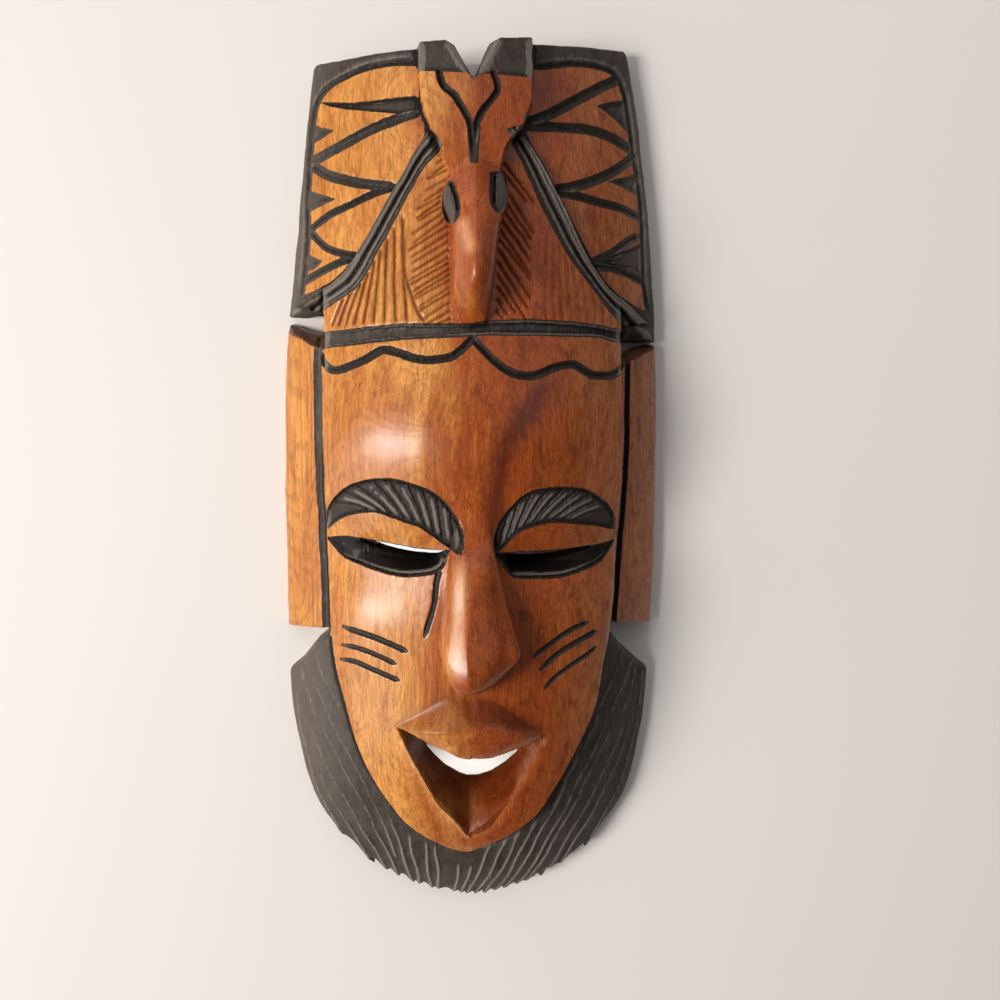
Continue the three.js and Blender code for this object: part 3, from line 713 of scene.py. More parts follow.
def carve_headband(c):
    shape = area(HEADBAND, 8)
    deep = mix(1.7, 3.2, ease((GX + 25) / 50))
    c.add(depth=deep * ease((shape - 1.1) / 1.5))
    c.add(depth=0.6 * ease((shape + 0.6) / 0.8), stain=shape + 0.3)
    for places in SCALLOPS:
        c.groove(places, *SCALLOP_LINE, ends=(0.01, 0.03))


BROWS = {
    "left": (
        [(-97, -15), (-95, -4), (-87, 7), (-79, 13), (-67, 17), (-58, 18), (-48, 17), (-36, 14), (-26, 9),
         (-17, -1), (-11, -13), (-10, -23)],
        [(-97, -16), (-91, -10), (-84, -6), (-74, -3), (-64, -2), (-55, -4), (-45, -7), (-36, -10),
         (-27, -16), (-19, -22), (-11, -26)],
    ),
    "right": (
        [(11, -26), (12, -16), (16, -6), (22, 1), (30, 8), (39, 11), (53, 12), (67, 10), (77, 5), (87, -3),
         (93, -13)],
        [(12, -27), (18, -21), (24, -15), (33, -11), (43, -9), (53, -9), (64, -11), (75, -13), (86, -16),
         (93, -18)],
    ),
}


BROW_STRANDS = 9
BROW_STARTS = {"left": (0.1, 0.86), "right": (0.2, 0.97)}  # shares along the upper line
BROW_ENDS = {"left": (0.36, 1.0), "right": (0.0, 0.66)}  # and along the lower line


def carve_brows(c):
    for side, (upper, lower) in BROWS.items():
        upper, lower = line(upper), line(lower)
        shape = between(upper, lower, 8)
        c.add(depth=1.4 * ease((shape + 0.2) / 1.4), stain=shape + 0.6, tint=0.4 * ease(shape / 1.5))
        for edge, size in zip((upper, lower), BROW_LINES):
            c.groove(edge, *size, ends=(0.03, 0.03))
        lines = []
        for k in range(BROW_STRANDS):
            t = (k + 0.5) / BROW_STRANDS
            start = upper[int(mix(*BROW_STARTS[side], t) * (len(upper) - 1))]
            end = lower[int(mix(*BROW_ENDS[side], t) * (len(lower) - 1))]
            middle = mix(start, end, 0.5) + (0, 1.2)
            c.groove([start, middle, end], *BROW_STRAND, sharp=1.6, ends=(0.05, 0.1))
            lines.append(np.array([start, middle, end]))
        for one, other in zip(lines, lines[1:]):
            distance, along = near((one + other) / 2, 3)
            c.add(ridge=unit(1.3 - distance / 1.1) * faded(along, 0.2, 0.25))


SCARS = [  # places and width
    ([(-87, -80), (-73, -83), (-59, -87), (-46, -92)], 4.2),
    ([(-88, -93), (-79, -93), (-66, -96), (-53, -101)], 3.6),
    ([(-89, -103), (-80, -103), (-66, -107), (-51, -112)], 3.8),
    ([(36, -97), (47, -90), (58, -83), (65, -80), (73, -78)], 3.6),
    ([(41, -106), (51, -98), (61, -92), (72, -87), (79, -85)], 4.0),
    ([(44, -119), (51, -112), (61, -106), (70, -101), (79, -96)], 3.4),
]
TEAR = [(-24, -40), (-26, -49), (-28, -62), (-32, -75), (-34, -82)]
SEAMS = [  # places, width, depth and how pale their middles are
    ([(-101, 108), (-102.5, 80), (-103, 40), (-102, 1), (-101, -40), (-100, -90)], 5.6, 2.6, 0.45),
    ([(103, 98), (103.3, 80), (103.3, 39), (101.5, -1), (99.5, -29), (98, -49), (96, -90)], 4.2, 3.6, 0.1),
]


def carve_face(c):
    for places, width in SCARS:
        distance = c.groove(places, width, SCAR_DEPTH, ends=(0.16, 0.04), spill=0.15)
        pale = 0.5 if places[0][0] < 0 else 0.25
        c.add(ridge=pale * ease((1.1 - distance) / 0.9))
    distance = c.groove(TEAR, *TEAR_LINE, ends=(0.01, 0.12), spill=0.15)
    c.add(ridge=0.35 * ease((1.4 - distance) / 1.0))
    for side in ("left", "right"):
        c.groove(LOWER_LIDS[side][1:-1], *LID_LINE, ends=(0.1, 0.05))
    for places, width, depth, pale in SEAMS:
        distance = c.groove(places, width, depth, ends=(0.004, 0.004))
        c.add(ridge=pale * ease((2.6 - distance) / 1.2))


# painted highlight along the nose's left bevel
NOSE_HIGHLIGHT = [(-10.5, -25), (-12.5, -57), (-14.5, -85), (-14, -105)]


def paint_nose_highlight(c):
    """A painted highlight: pale colour along the nose's left bevel."""
    distance, along = near(line(NOSE_HIGHLIGHT), 7)
    c.add(ridge=0.85 * ease(1.25 - distance / 4.6) * faded(along, 0.2, 0.2))


BEARD_BAND = 9  # width of the smooth band beside the face


def beard_strands():
    """Lines that follow the beard down its sides and fan out at the bottom."""
    lean = profile([
        (-130, 0.02), (-118, 0.2), (-102, 0.5), (-85, 0.52), (-60, 0.3), (-40, 0.1), (-24, 0.04), (-10, -0.12),
        (8, -0.32), (30, -0.38), (60, -0.46), (88, -0.5), (104, -0.42), (118, -0.16), (130, -0.02),
    ])
    rng = np.random.default_rng(11)
    taken = np.empty((0, 2))
    found = []

    def free(p, gap):
        x, y = p
        if not (-293 < y < -104 and left_edge(y) + 3 < x < right_edge(y) - 3):
            return False
        beside = x < face_left(y) - BEARD_BAND or x > face_right(y) + BEARD_BAND
        off_face = beside or y < CHIN_Y - 1.5 * BEARD_BAND
        return off_face and (len(taken) == 0 or np.min(np.hypot(*(taken - p).T)) > gap)

    def walk(p, way, sway):
        out = []
        while free(p, 4.2) and len(out) < 60:
            out.append(p)
            wave = 0.09 * math.sin(p[1] / 7 + sway)
            p = p + way * 2.0 * np.array([lean(p[0]) + wave, -1.0])
        return out

    bottom = [(x, -262 - 0.0012 * x * x) for x in np.arange(-72, 80, 7.6)]
    sides = [(side * x, y) for y in range(-130, -262, -18) for x in range(86, 126, 4) for side in (-1, 1)]
    for seed in bottom + sides:
        seed = np.array(seed, float) + rng.uniform(-1, 1, 2)
        sway = rng.uniform(0, 2 * math.pi)
        if not free(seed, 6.4):
            continue
        points = walk(seed, -1, sway)[::-1] + walk(seed, 1, sway)[1:]
        if len(points) > 6:
            taken = np.vstack((taken, points))
            found.append([*points, points[-1] + 4 * (points[-1] - points[-2])])
    return found


def carve_beard(c):
    """Black, hollowed between the strands; the distance to the nearest strand also serrates the edge."""
    outside = np.maximum(face_left(GY) - GX, GX - face_right(GY))
    outside = np.where(GY < CHIN_Y, 6.0, outside)
    below = np.minimum(outside, -92 - GY)
    c.add(stain=np.clip(below, -6, 6))
    nearest = np.full(GX.shape, 5.0)
    ridge = np.zeros(GX.shape)
    for points in beard_strands():
        distance, along = near([*points[:-1:3], *points[-2:]], 5)
        taper = ease(along / 0.15) * mix(0.55, 1, ease((-215 - GY) / 40))
        ridge = np.maximum(ridge, unit(1 - distance / 2.1) ** 1.4 * taper)
        nearest = np.minimum(nearest, distance)
    in_beard = ease(below / 4)
    c.add(depth=in_beard * (1.1 + 0.4 * noise(9, 22, 51) - 1.4 * ridge))
    beside = np.where(GX < 0, 0.5 * ease((-50 - GX) / 25), 0.65 * ease((GX - 60) / 20))
    c.add(ridge=ridge * in_beard * (1 - beside))
    return nearest


# The whole carving

GAPS = [
    [(-145, 121), (-121, 121.5), (-112, 121), (-104, 122.5), (-97, 122), (-97, 109), (-105, 111), (-112, 112.5),
     (-118, 116), (-124, 117), (-145, 116)],
    [(145, 105), (98, 104), (97, 94), (104, 97), (112, 101), (121, 103), (145, 102.5)],
    [(-145, -92), (-98, -87), (-97, -91), (-103, -97), (-108, -101), (-119, -115), (-126, -121), (-145, -139)],
    [(145, -97), (96, -86), (93, -92), (98, -99), (105, -109), (118, -121), (145, -142)],
    [(50.2, -300), (50.4, -282.2), (52.6, -274.2), (55.6, -275), (60, -272.2), (66, -272.8), (72, -276),
     (80, -300)],
]
CHIPS = [((74, -267), 1.8), ((-61, -275), 2.2)]  # place and radius


def plan_field(nearest_strand, slits, gap):
    """Positive on the wood and negative outside it and in the openings."""
    field = area(mask_outline(), 8)
    teeth = 4.2 * unit(nearest_strand / 3.5) ** 1.5 + 0.8 * noise(1.8, 1.8, 52)
    serrate = teeth * ease((-225 - GY) / 40)
    field = field - serrate
    for outline in GAPS:
        field = np.minimum(field, -area(outline, 8))
    field = np.minimum(field, -area([(-1.5, 267.5), (0.5, 267.5), (20, 310), (-22, 310)], 8))
    for (x, y), radius in CHIPS:
        field = np.minimum(field, np.hypot(PX - x, (PY - y) * 0.9) - radius + 0.6 * noise(1.6, 1.6, 53))
    for shape in (*slits, gap):
        field = np.minimum(field, -shape)
    return field


def end_bevels(height, c):
    """The slanted rough ends of the ear panels and of the board above them."""
    rough = 1.3 * noise(2.4, 2.4, 31) + 1.0 * noise(5, 5, 32)
    outer = np.abs(GX) > 97.5
    ear_end = np.where(GX < 0, 6 + (115 - GY) * 1.8, 6 + (103 - GY) * 2.2) + rough
    ear = outer & (GY > 60) & (GY < np.where(GX < 0, 117, 103.6))
    board_end = np.where(GX < 0, 12 + (GY - 120) * 1.2, 12 + (GY - 104) * 1.1) + 0.4 * rough
    board = outer & (GY >= np.where(GX < 0, 117, 103.6)) & (GY < 140)
    c.raw = np.where(ear, ease((height - ear_end + 0.6) / 1.2), 0)
    height = np.where(ear, np.minimum(height, ear_end), height)
    return np.where(board, np.minimum(height, np.maximum(board_end, RIM_HEIGHT - 1)), height)


def horn_bevels(height):
    """Facets that fall to the notch between the horns."""
    into_left = ((GX + 3) * 21 + (GY - 267) * 16) / 26.4
    into_right = ((2 - GX) * 21 + (GY - 266) * 14) / 25.2
    into = np.minimum(into_left, into_right)
    cut = 59 - 2.4 * into
    return np.where((GY > 262) & (into > -1), np.minimum(height, np.maximum(cut, 16)), height)


STREAKS = [  # places, width and strength
    ([(46, 92), (39, 72), (27, 56), (18, 42), (12, 18), (10, -8), (8, -32)], 16, 1.0),
    ([(34, 96), (28, 76), (14, 56), (7, 38), (2, 12), (0, -12)], 5, 0.5),
    ([(58, 92), (52, 70), (41, 52), (34, 30), (31, 14)], 6, 0.5),
    ([(8, 92), (-2, 66), (-6, 34), (-4, 4)], 9, 0.4),
    ([(72, 92), (74, 60), (66, 30), (58, 16)], 9, 0.45),
    ([(-14, 92), (-22, 62), (-24, 30), (-18, 6)], 6, 0.35),
    # painted shade: the cheek just right of the nose, where its shadow falls
    ([(24, -50), (30, -80), (34, -120), (26, -160)], 18, 0.5),
    # painted shade on the nose's right flank
    ([(5, -34), (11, -70), (13, -106), (8, -128)], 14, 0.55),
    ([(60, -50), (66, -80), (60, -110)], 8, 0.3),
    ([(-60, 90), (-58, 60), (-66, 34)], 5, 0.25),
]


def streaks_and_nose_shade(c):
    """Dark heartwood that flows down the forehead into the nose, and fainter streaks beside it; the two on the
    nose's right flank and the cheek beside it are painted shade.
    """
    for places, width, strength in STREAKS:
        distance, along = near(line(places), width)
        c.add(streak=strength * (1 - distance / width) ** 1.2 * faded(along, 0.15, 0.2))


def carved_surface():
    """Front heights, back heights, the plan field and the fields that colour the wood."""
    log = log_top()
    face = face_top()
    height = mix(log, np.maximum(face, log), ease((area(face_outline(), 8) + 0.7) / 1.4))
    height = mix(height, np.maximum(cap_top(), height), ease((area(cap_outline(), 8) + 0.7) / 1.4))
    for form, softness, fillet in (
        (head_form(), 0.5, 0.6), (snout_form(), 0.8, 3.2), (nose_form(), 0.45, 1.0), (lip_form(face), 0.7, 0.8),
    ):
        height = smooth_max(height, blur(form, softness), fillet)

    c = Carving()
    nearest_strand = carve_beard(c)
    for carve in (
        carve_wings, carve_bands, carve_head, carve_cap, carve_headband, carve_brows, carve_face,
        paint_nose_highlight, stain_and_shade_lip, streaks_and_nose_shade,
    ):
        carve(c)

    slits = []
    for side in ("left", "right"):
        lens, slit = eye_shapes(side)
        height = np.where(lens > 0, np.minimum(height, eye_floor(face, lens, slit)), height)
        off_rim, _ = near(LOWER_LIDS[side][1:-1], 4)
        # inside the rim the eye's walls are tinted near black: painted shade over the black stain
        c.add(stain=lens + 0.6, tint=ease((lens - 0.2) / 0.8) * ease((off_rim - LID_RIM) / 0.8))
        slits.append(slit)
    mouth = area(np.vstack((line(MOUTH_RIM), line(LIP_LOW)[1:-1])), 10)
    gap = np.minimum(area(GAP_LOW, 12), area(line(LIP_LOW + MOUTH_RIM[1:]), 12))
    height = np.where(mouth > 0, np.minimum(height, mouth_floor(face)), height)
    c.add(tint=np.where(GX < CREASE_X, 0.85, 0.8) * ease((mouth + 0.2) / 0.8))
    chamfer = unit(1 + mouth / 4) * (mouth <= 0) * ease((-152 - GY) / 6)
    height = height + np.where(GX < CREASE_X, 0.9, -1.3) * chamfer
    # painted highlight: a pale band along the mouth's rim, strongest at the left
    rim_highlight = unit(1.2 - np.abs(mouth + 1.9) / 1.7) * ease((-150 - GY) / 8)
    c.add(ridge=np.where(GX < CREASE_X, 0.9, 0.45) * rim_highlight)

    height = end_bevels(height, c)
    height = horn_bevels(height)
    field = plan_field(nearest_strand, slits, gap)
    height = height - c.depth * (mouth <= 0)
    rounded = EDGE_ROUND * (1 - unit(field / EDGE_ROUND)) ** 2 * (height < 70)
    tooling = 0.12 * noise(6, 14, 41) + 0.05 * noise(1.6, 4, 42)
    rough = 0.22 * noise(1.3, 3.0, 43) * ease(c.stain / 1.5)
    height = height - rounded + tooling + rough
    back = hollow_height()
    front = np.maximum(height, back + THINNEST * ease(field / 3) + 0.4)
    return front, back, field, c


CORNERS = {  # marching squares: corners 0 to 3 anticlockwise, edge crossings 4 to 7
    1: [(0, 4, 7)], 2: [(4, 1, 5)], 3: [(0, 1, 5, 7)], 4: [(5, 2, 6)], 5: [(0, 4, 7), (5, 2, 6)],
    6: [(4, 1, 2, 6)], 7: [(0, 1, 2, 6, 7)], 8: [(7, 6, 3)], 9: [(0, 4, 6, 3)],
    10: [(4, 1, 5), (7, 6, 3)], 11: [(0, 1, 5, 6, 3)], 12: [(7, 5, 2, 3)], 13: [(0, 4, 5, 2, 3)],
    14: [(4, 1, 2, 3, 7)], 15: [(0, 1, 2, 3)],
}
CARVED_COST = 2e-6  # how much dearer it is to drop a triangle from a carved place
STEEP = 7  # a rise within one step that counts as an upright wall


def closed_mesh(front, back, field):
    """One closed mesh between two height fields over the places where the plan field is positive."""
    inside = field > 0
    ids = np.full(field.shape, -1)
    ids[inside] = np.arange(inside.sum())
    xs, ys, tops, lows = [GX[inside]], [GY[inside]], [front[inside]], [back[inside]]
    count = inside.sum()
    crossing_ids = []
    for a, b in ((np.s_[:, :-1], np.s_[:, 1:]), (np.s_[:-1], np.s_[1:])):
        crossed = inside[a] != inside[b]
        t = (field[a] / (field[a] - field[b] + 1e-9))[crossed]
        t = np.clip(t, 0.06, 0.94)
        own = inside[a][crossed]
        number = np.full(crossed.shape, -1)
        number[crossed] = count + np.arange(crossed.sum())
        count += crossed.sum()
        crossing_ids.append(number)
        xs.append(mix(GX[a][crossed], GX[b][crossed], t))
        ys.append(mix(GY[a][crossed], GY[b][crossed], t))
        for heights, store in ((front, tops), (back, lows)):
            first, second = heights[a][crossed], heights[b][crossed]
            blend = mix(first, second, t)
            store.append(np.where(np.abs(first - second) > STEEP, np.where(own, first, second), blend))
    x, y, top, low = (np.concatenate(parts) for parts in (xs, ys, tops, lows))
    top = np.maximum(top, low + 0.4)
    across, upward = crossing_ids
    at = [ids[:-1, :-1], ids[:-1, 1:], ids[1:, 1:], ids[1:, :-1],
          across[:-1], upward[:, 1:], across[1:], upward[:, :-1]]
    case = sum((at[k] >= 0) * (1 << k) for k in range(4))
    upper, walls = [], []
    for number, polygons in CORNERS.items():
        here = case == number
        for polygon in polygons:
            corner = [at[k][here] for k in polygon]
            for k in range(1, len(corner) - 1):
                upper.append(np.column_stack((corner[0], corner[k], corner[k + 1])))
            for k, name in enumerate(polygon):
                after = polygon[(k + 1) % len(polygon)]
                if name > 3 and after > 3:
                    walls.append(np.column_stack((corner[k], corner[(k + 1) % len(corner)])))
    upper = np.vstack(upper)
    walls = np.vstack(walls)
    n = len(x)
    a, b = walls.T
    side = np.vstack((np.column_stack((b, a, a + n)), np.column_stack((b, a + n, b + n))))
    triangles = np.vstack((upper, upper[:, ::-1] + n, side))
    points = np.column_stack((np.tile(x, 2), np.tile(y, 2), np.concatenate((top, low))))
    return points, triangles


def placed(name, data):
    """A new object in the scene."""
    obj = bpy.data.objects.new(name, data)
    bpy.context.scene.collection.objects.link(obj)
    return obj


def mesh_from(name, points, triangles):
    mesh = bpy.data.meshes.new(name)
    mesh.vertices.add(len(points))
    mesh.vertices.foreach_set("co", (points * MM).astype(np.float32).ravel())
    mesh.loops.add(3 * len(triangles))
    mesh.loops.foreach_set("vertex_index", triangles.astype(np.int32).ravel())
    mesh.polygons.add(len(triangles))
    mesh.polygons.foreach_set("loop_start", np.arange(0, 3 * len(triangles), 3, dtype=np.int32))
    mesh.update(calc_edges=True)
    return mesh


def thinned(obj, triangles, weights):
    """The object in fewer triangles, which it loses first where the weights are high."""
    share = triangles / len(obj.data.polygons)
    if share >= 1:
        return
    group = obj.vertex_groups.new(name="plain")
    for level in range(1, 5):
        group.add(np.flatnonzero(weights == level).tolist(), level / 4, "REPLACE")
    modifier = obj.modifiers.new("thin", "DECIMATE")
    modifier.ratio = share
    modifier.vertex_group = group.name
    modifier.vertex_group_factor = CARVED_COST
    shown = obj.evaluated_get(bpy.context.evaluated_depsgraph_get())
    lighter = bpy.data.meshes.new_from_object(shown)
    obj.modifiers.clear()
    obj.vertex_groups.clear()
    heavy = obj.data
    obj.data = lighter
    bpy.data.meshes.remove(heavy)


def plainness(points, c):
    """0 where a line or a colour's edge runs, up to 4 on plain wood and behind."""
    lines = np.abs(c.depth - blur(c.depth, 1.5)) / 0.25
    edges = unit(1.2 - np.abs(c.stain) / 1.5) + c.tint
    busy = unit(blur(lines + edges, 1.0))
    weights = 4 * (1 - sample(busy, points[:, 0], points[:, 1]))
    weights[len(points) // 2:] = 4
    return np.round(weights).astype(int)


def sample(field, x, y):
    """A grid field at any places."""
    u = np.clip((x - X[0]) / STEP, 0, len(X) - 1.001)
    v = np.clip((y - Y[0]) / STEP, 0, len(Y) - 1.001)
    j, i = u.astype(int), v.astype(int)
    s, t = v - i, u - j
    low = mix(field[i, j], field[i, j + 1], t)
    high = mix(field[i + 1, j], field[i + 1, j + 1], t)
    return mix(low, high, s)


def add_fields(mesh, front, back, field, c):
    """What the wood's colour reads at each vertex: stains, tints, breaks, ridges, front, and a shading field of
    hollows, ridges and painted light on slopes that face the upper left.
    """
    co = np.zeros(len(mesh.vertices) * 3, np.float32)
    mesh.vertices.foreach_get("co", co)
    x, y, z = (co.reshape(-1, 3) / MM).T
    down_y, across_x = np.gradient(front, STEP)
    # painted light: slopes that face the upper left are added to the field below, which the black stain shows
    # lighter
    lit_slope = 0.5 * across_x - 0.86 * down_y
    lit_slope = np.clip(lit_slope - blur(lit_slope, 4) - 0.1, 0, 0.8)
    # hollows in this field are painted darker on the black stain, as painted shade
    shading_relief = np.clip(front - blur(front, 2.2), -3, 3) + 0.5 * lit_slope
    inside = ease((field - 1.2) / 2.5) * ease((c.stain - 0.5) / 1.6)
    shading_relief = np.where(shading_relief > 0, shading_relief * mix(0.12, 1, inside), shading_relief)
    top, low = sample(front, x, y), sample(back, x, y)
    share = unit((z - low) / np.maximum(top - low, 0.5))
    fields = {"stain": sample(np.clip(c.stain, -6, 6), x, y), "raw": sample(c.raw, x, y), "front": share}
    for name, field in (("tint", c.tint), ("ridge", c.ridge), ("streak", c.streak), ("shading_relief", shading_relief)):
        fields[name] = sample(field, x, y) * share
    for name, values in fields.items():
        attribute = mesh.attributes.new(name, "FLOAT", "POINT")
        attribute.data.foreach_set("value", values.astype(np.float32))


def make_mask(material):
    front, back, field, c = carved_surface()
    points, triangles = closed_mesh(front, back, field)
    obj = placed("mask_carved", mesh_from("mask_carved", points, triangles))
    thinned(obj, TRIANGLES, plainness(points, c))
    add_fields(obj.data, front, back, field, c)
    obj.data.materials.clear()
    obj.data.materials.append(material)
    obj.data.shade_smooth()
    obj.data.set_sharp_from_angle(angle=math.radians(32))
    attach(obj, "root")
    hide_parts("mask")
    return obj


# Materials


class Nodes:
    """Short names for the shader nodes of one material."""

    def __init__(self, name):
        self.material = bpy.data.materials.new(name)
        self.material.use_nodes = True
        self.tree = self.material.node_tree
        self.inputs = self.tree.nodes["Principled BSDF"].inputs

    def link(self, value, socket):
        if isinstance(value, bpy.types.NodeSocket):
            self.tree.links.new(value, socket)
        else:
            socket.default_value = value

    def node(self, kind, inputs=None, **settings):
        """A node with its settings, and a value or a link for each named input."""
        node = self.tree.nodes.new("ShaderNode" + kind)
        for name, value in settings.items():
            setattr(node, name, value)
        for name, value in (inputs or {}).items():
            self.link(value, node.inputs[name])
        return node

    def math(self, operation, *values, clamp=False):
        return self.node("Math", dict(enumerate(values)), operation=operation, use_clamp=clamp).outputs[0]

    def attribute(self, name):
        return self.node("Attribute", attribute_name=name).outputs["Fac"]

    def place(self, across, along):
        """Object coordinates in millimetres, stretched across and along the grain."""
        scale = across / MM, along / MM, across / MM
        coordinates = self.node("TexCoord").outputs["Object"]
        return self.node("Mapping", {"Vector": coordinates, "Scale": scale}).outputs[0]

    def noise(self, across, along, detail, roughness=0.5, distortion=0.0):
        return self.node("TexNoise", {
            "Vector": self.place(across, along), "Scale": 1.0, "Detail": detail,
            "Roughness": roughness, "Distortion": distortion,
        }).outputs["Fac"]

    def ramp(self, value, low, high):
        """0 at low, 1 at high, and smooth between them."""
        inputs = {"Value": value, "From Min": low, "From Max": high}
        return self.node("MapRange", inputs, interpolation_type="SMOOTHSTEP").outputs["Result"]

    def blend(self, share, first, second):
        inputs = {"Factor": share, "A": first, "B": second}
        return self.node("Mix", inputs, data_type="RGBA").outputs["Result"]

    def layers(self, base, steps):
        """Colours laid over a base, each as a value goes from its first limit to its second."""
        for value, first, last, strength, over in steps:
            share = self.math("MULTIPLY", self.ramp(value, first, last), strength)
            base = self.blend(share, base, colour(*over))
        return base


def colour(red, green, blue):
    """A colour given as it looks on a screen, from 0 to 255."""
    def linear(v):
        v /= 255
        return v / 12.92 if v <= 0.04045 else ((v + 0.055) / 1.055) ** 2.4
    return linear(red), linear(green), linear(blue), 1.0


def wood_colours(n, x, streaks, pores):
    """Golden wood at the left, heartwood beside it and paler, greyer wood at the right that is partly a painted
    sheen, with figure, rings, fibres, streaks and pores.
    """
    figure = n.noise(0.05, 0.008, 3, 0.55, 0.6)
    fibres = n.noise(1.5, 0.045, 2, 0.6)
    flame = n.noise(0.11, 0.05, 4, 0.65, 1.2)
    swirl = n.noise(0.016, 0.006, 3, 0.5, 0.8)
    rings = n.math("SINE", n.math("MULTIPLY_ADD", swirl, 130, n.math("MULTIPLY", x, 0.16)))
    across = n.math("ADD", x, n.math("MULTIPLY_ADD", figure, 80, -40))
    flame_strength = n.math("MULTIPLY_ADD", n.ramp(across, -34, 8), 0.52, 0.13)
    dark_streaks_and_shade = n.math("MULTIPLY_ADD", streaks, 0.5, n.attribute("streak"))
    wood = n.layers(colour(216, 148, 72), [
        (figure, 0.35, 0.68, 1, (192, 117, 50)),
        (across, -46, 6, 1, (160, 71, 17)),
        # paler, greyer wood towards the right: partly the wood's tone, partly a painted sheen
        (across, 42, 98, 1, (178, 104, 58)),
        (rings, -0.1, 1.0, 0.24, (118, 50, 14)),
        (streaks, 0.42, 0.72, 0.45, (112, 46, 13)),
        (fibres, 0.5, 0.75, 0.22, (232, 160, 88)),
        (fibres, 0.5, 0.25, 0.3, (104, 44, 14)),
        (flame, 0.45, 0.72, flame_strength, (98, 34, 9)),
        # these heartwood streaks carry the painted shade beside the nose too
        (dark_streaks_and_shade, 0.4, 1.2, 0.8, (76, 26, 8)),
        (pores, 0.56, 0.68, 0.42, (66, 26, 9)),
    ])
    # on the wood this paleness is painted highlight: the nose's left bevel, the snout's flank and the mouth's
    # rim
    wood = n.blend(n.math("MULTIPLY", n.attribute("ridge"), 0.65), wood, colour(230, 176, 130))
    # darker where tinted: stain in the mouth and on the lips, painted shade in the hair's valleys, on the lips'
    # upper planes and on the head's right side
    return n.blend(n.math("MULTIPLY", n.attribute("tint"), 0.75, clamp=True), wood, colour(74, 28, 10))


def black_colours(n, x, y, brushed):
    """Black stain with a brushed grain, a painted sheen at the left, lighter at the upper right, painted shade
    in the hollows, and ridges lightened by wear and by painted light.
    """
    shading_relief = n.attribute("shading_relief")
    worn_and_lit = n.math("ADD", n.math("MULTIPLY_ADD", brushed, 0.6, -0.3), n.math("MULTIPLY", shading_relief, 1.3))
    black = n.layers(colour(63, 56, 51), [
        (n.noise(0.12, 0.06, 2), 0.35, 0.65, 1, (76, 68, 62)),
        (n.noise(0.8, 0.06, 3, 0.6), 0.42, 0.68, 0.45, (36, 31, 28)),
        (n.attribute("stain"), 3.6, 1.8, 1, (51, 43, 38)),
        # painted sheen: lighter towards the left
        (x, -70, -125, 0.42, (122, 110, 99)),
        # lighter towards the upper right
        (x, 92, 112, n.math("MULTIPLY", n.ramp(y, 100, 190), 0.4), (112, 104, 95)),
        # painted shade: darker in the hollows
        (shading_relief, -0.2, -1.2, 1, (30, 26, 23)),
        # lighter on ridges: partly wear, partly painted light on slopes that face the upper left
        (worn_and_lit, 0.15, 0.9, 0.7, (126, 117, 108)),
    ])
    # near black where tinted: in the eyes this is painted shade
    black = n.blend(n.attribute("tint"), black, colour(20, 15, 11))
    return n.layers(black, [(n.attribute("ridge"), 0.2, 0.8, 0.6, (136, 128, 120))])


def wood_material():
    """Stain and varnish in front, broken wood at the rough ends and bare wood behind."""
    n = Nodes("varnished_wood")
    axes = n.node("SeparateXYZ", {0: n.place(1, 1)}).outputs
    streaks = n.noise(0.5, 0.018, 3, 0.6, 0.3)
    pores = n.noise(1.7, 0.2, 2)
    brushed = n.noise(0.9, 0.3, 3, 0.6)
    edge = n.math("MULTIPLY_ADD", n.noise(0.5, 0.3, 3, 0.6), 0.9, -0.45)
    stained = n.ramp(n.math("ADD", n.attribute("stain"), edge), -0.12, 0.3)
    wood = wood_colours(n, axes["X"], streaks, pores)
    painted = n.blend(stained, wood, black_colours(n, axes["X"], axes["Y"], brushed))
    broken = n.layers(colour(104, 74, 58), [(brushed, 0.35, 0.7, 1, (66, 46, 38))])
    painted = n.blend(n.attribute("raw"), painted, broken)
    bare = n.layers(colour(150, 112, 78), [(streaks, 0.4, 0.7, 1, (112, 78, 50))])
    n.link(n.blend(n.ramp(n.attribute("front"), 0.05, 0.25), bare, painted), n.inputs["Base Color"])
    n.link(n.math("MULTIPLY_ADD", stained, 0.12, 0.42), n.inputs["Roughness"])
    n.inputs["Specular IOR Level"].default_value = 0.1
    matte = n.math("MULTIPLY_ADD", n.attribute("tint"), 1.3, stained, clamp=True)
    n.link(n.math("MULTIPLY_ADD", matte, -0.56, 0.66), n.inputs["Coat Weight"])
    n.inputs["Coat Roughness"].default_value = 0.27
    height = n.math("ADD", n.math("MULTIPLY", pores, -0.6), n.math("MULTIPLY", brushed, stained))
    bump = n.node("Bump", {"Strength": 0.5, "Distance": 0.35 * MM, "Height": height})
    n.link(bump.outputs["Normal"], n.inputs["Normal"])
    return n.material


def floor_material():
    n = Nodes("pale_floor")
    n.inputs["Base Color"].default_value = colour(230, 225, 220)
    n.inputs["Roughness"].default_value = 0.6
    return n.material


# Stage


FLOOR_REACH = 6.0  # metres each way
FLOOR_Z = -0.0005  # just under the rim, so that the two don't share a plane


def make_floor(material):
    corners = [(x * FLOOR_REACH, y * FLOOR_REACH, 0) for x, y in ((-1, -1), (1, -1), (1, 1), (-1, 1))]
    mesh = bpy.data.meshes.new("floor")
    mesh.from_pydata(corners, [], [(0, 1, 2, 3)])
    mesh.materials.append(material)
    floor = placed("floor", mesh)
    floor.location = (0, 0, FLOOR_Z)


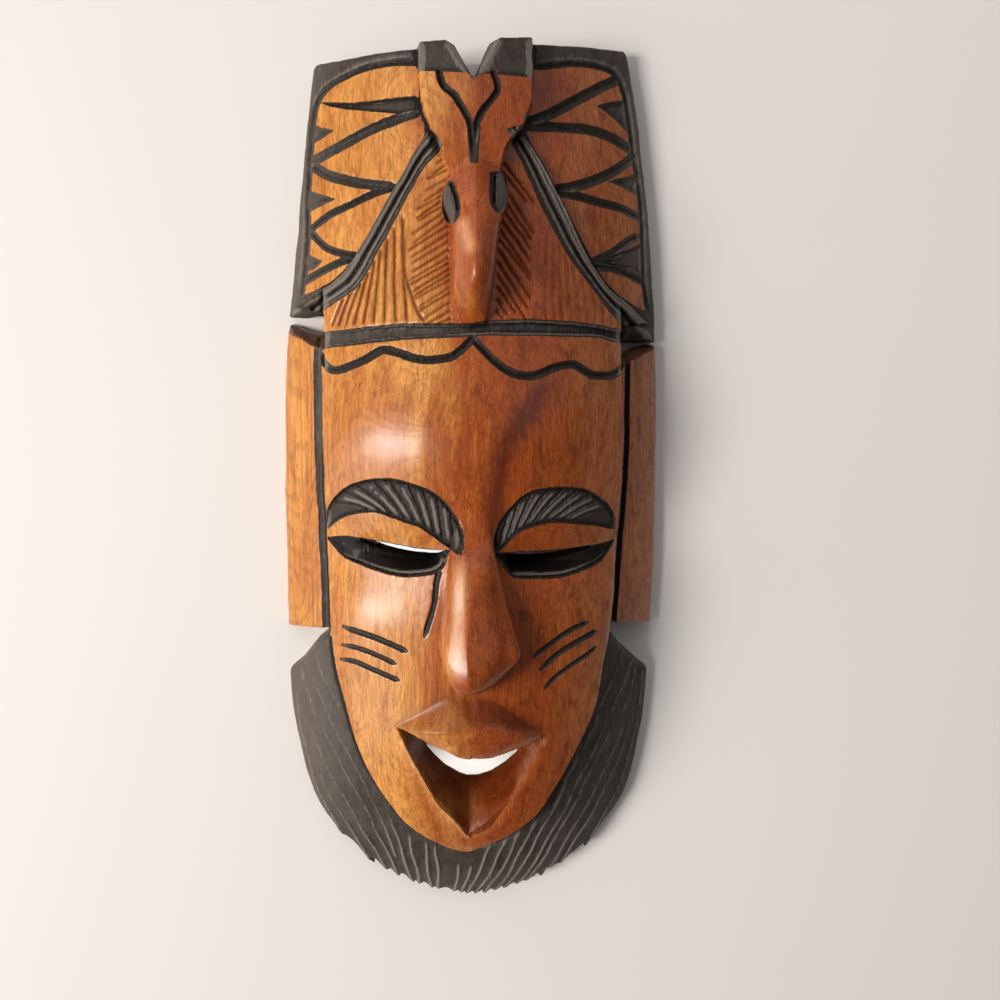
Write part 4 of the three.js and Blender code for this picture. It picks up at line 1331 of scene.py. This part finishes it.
ROOM_LIGHTS = [  # direction from the face, distance and size in metres, watts, colour
    ("window", (-0.72, -0.03, 0.68), 3.4, (0.85, 1.5), 108, (1.0, 0.97, 0.93)),
    ("lamp", (-0.85, -0.32, 0.42), 3.4, (1.9, 1.9), 36, (1.0, 0.96, 0.9)),
    ("pale_wall", (-0.35, 0.8, 0.5), 3.5, (3.0, 3.0), 28, (1.0, 0.98, 0.96)),
    ("ceiling", (0.45, 0.55, 0.7), 3.2, (3.0, 3.0), 13, (0.98, 0.98, 1.0)),
]
LIGHTS_BEHIND = [  # place and size in millimetres
    ("behind_mouth", (0, -200, 20), (60, 20)),
    ("behind_eye", (-46, -38, 20), (60, 8)),
]
HOLLOW_POWER = 0.0115  # watts of each
ROOM_GLOW = 0.14
LIT_POINT = Vector((0, 0, 0.06))


def area_light(name, size, power, tint):
    light = bpy.data.lights.new(name, "AREA")
    light.shape = "RECTANGLE"
    light.size, light.size_y = size
    light.energy = power
    light.color = tint
    return placed(name, light)


def light_room():
    """Soft lights that look at the middle of the face, in a pale room."""
    for name, direction, distance, *look in ROOM_LIGHTS:
        way = Vector(direction).normalized()
        light = area_light(name, *look)
        light.location = way * distance + LIT_POINT
        light.rotation_euler = way.to_track_quat("Z", "Y").to_euler()
    world = bpy.data.worlds.new("room")
    world.use_nodes = True
    background = world.node_tree.nodes["Background"].inputs
    background["Color"].default_value = (0.98, 0.98, 1.0, 1.0)
    background["Strength"].default_value = ROOM_GLOW
    bpy.context.scene.world = world


def light_hollow():
    """Small lamps in the hollow, which light the floor that shows through the mouth and the left eye."""
    for name, place, (across, along) in LIGHTS_BEHIND:
        light = area_light(name, (across * MM, along * MM), HOLLOW_POWER, (1, 1, 1))
        light.location = Vector(place) * MM


def make_camera():
    camera = bpy.data.cameras.new("photo_camera")
    camera.sensor_width = SENSOR
    camera.lens = FOCAL * SENSOR / PHOTO_SIDE
    camera.clip_start = 0.05
    lean = math.cos(PITCH)
    forward = Vector(((AIM_X - EYE.x) / EYE.z * lean, math.sin(PITCH), -lean)).normalized()
    right = forward.cross(Vector((0, 1, 0))).normalized()
    up = right.cross(forward)
    turn = Matrix((right, up, -forward)).transposed().to_4x4()
    bpy.context.scene.camera = placed("photo_camera", camera)
    bpy.context.scene.camera.matrix_world = Matrix.Translation(EYE * MM) @ turn


make_mask(wood_material())
make_floor(floor_material())
light_room()
light_hollow()
make_camera()
bpy.context.scene.view_settings.view_transform = "Standard"
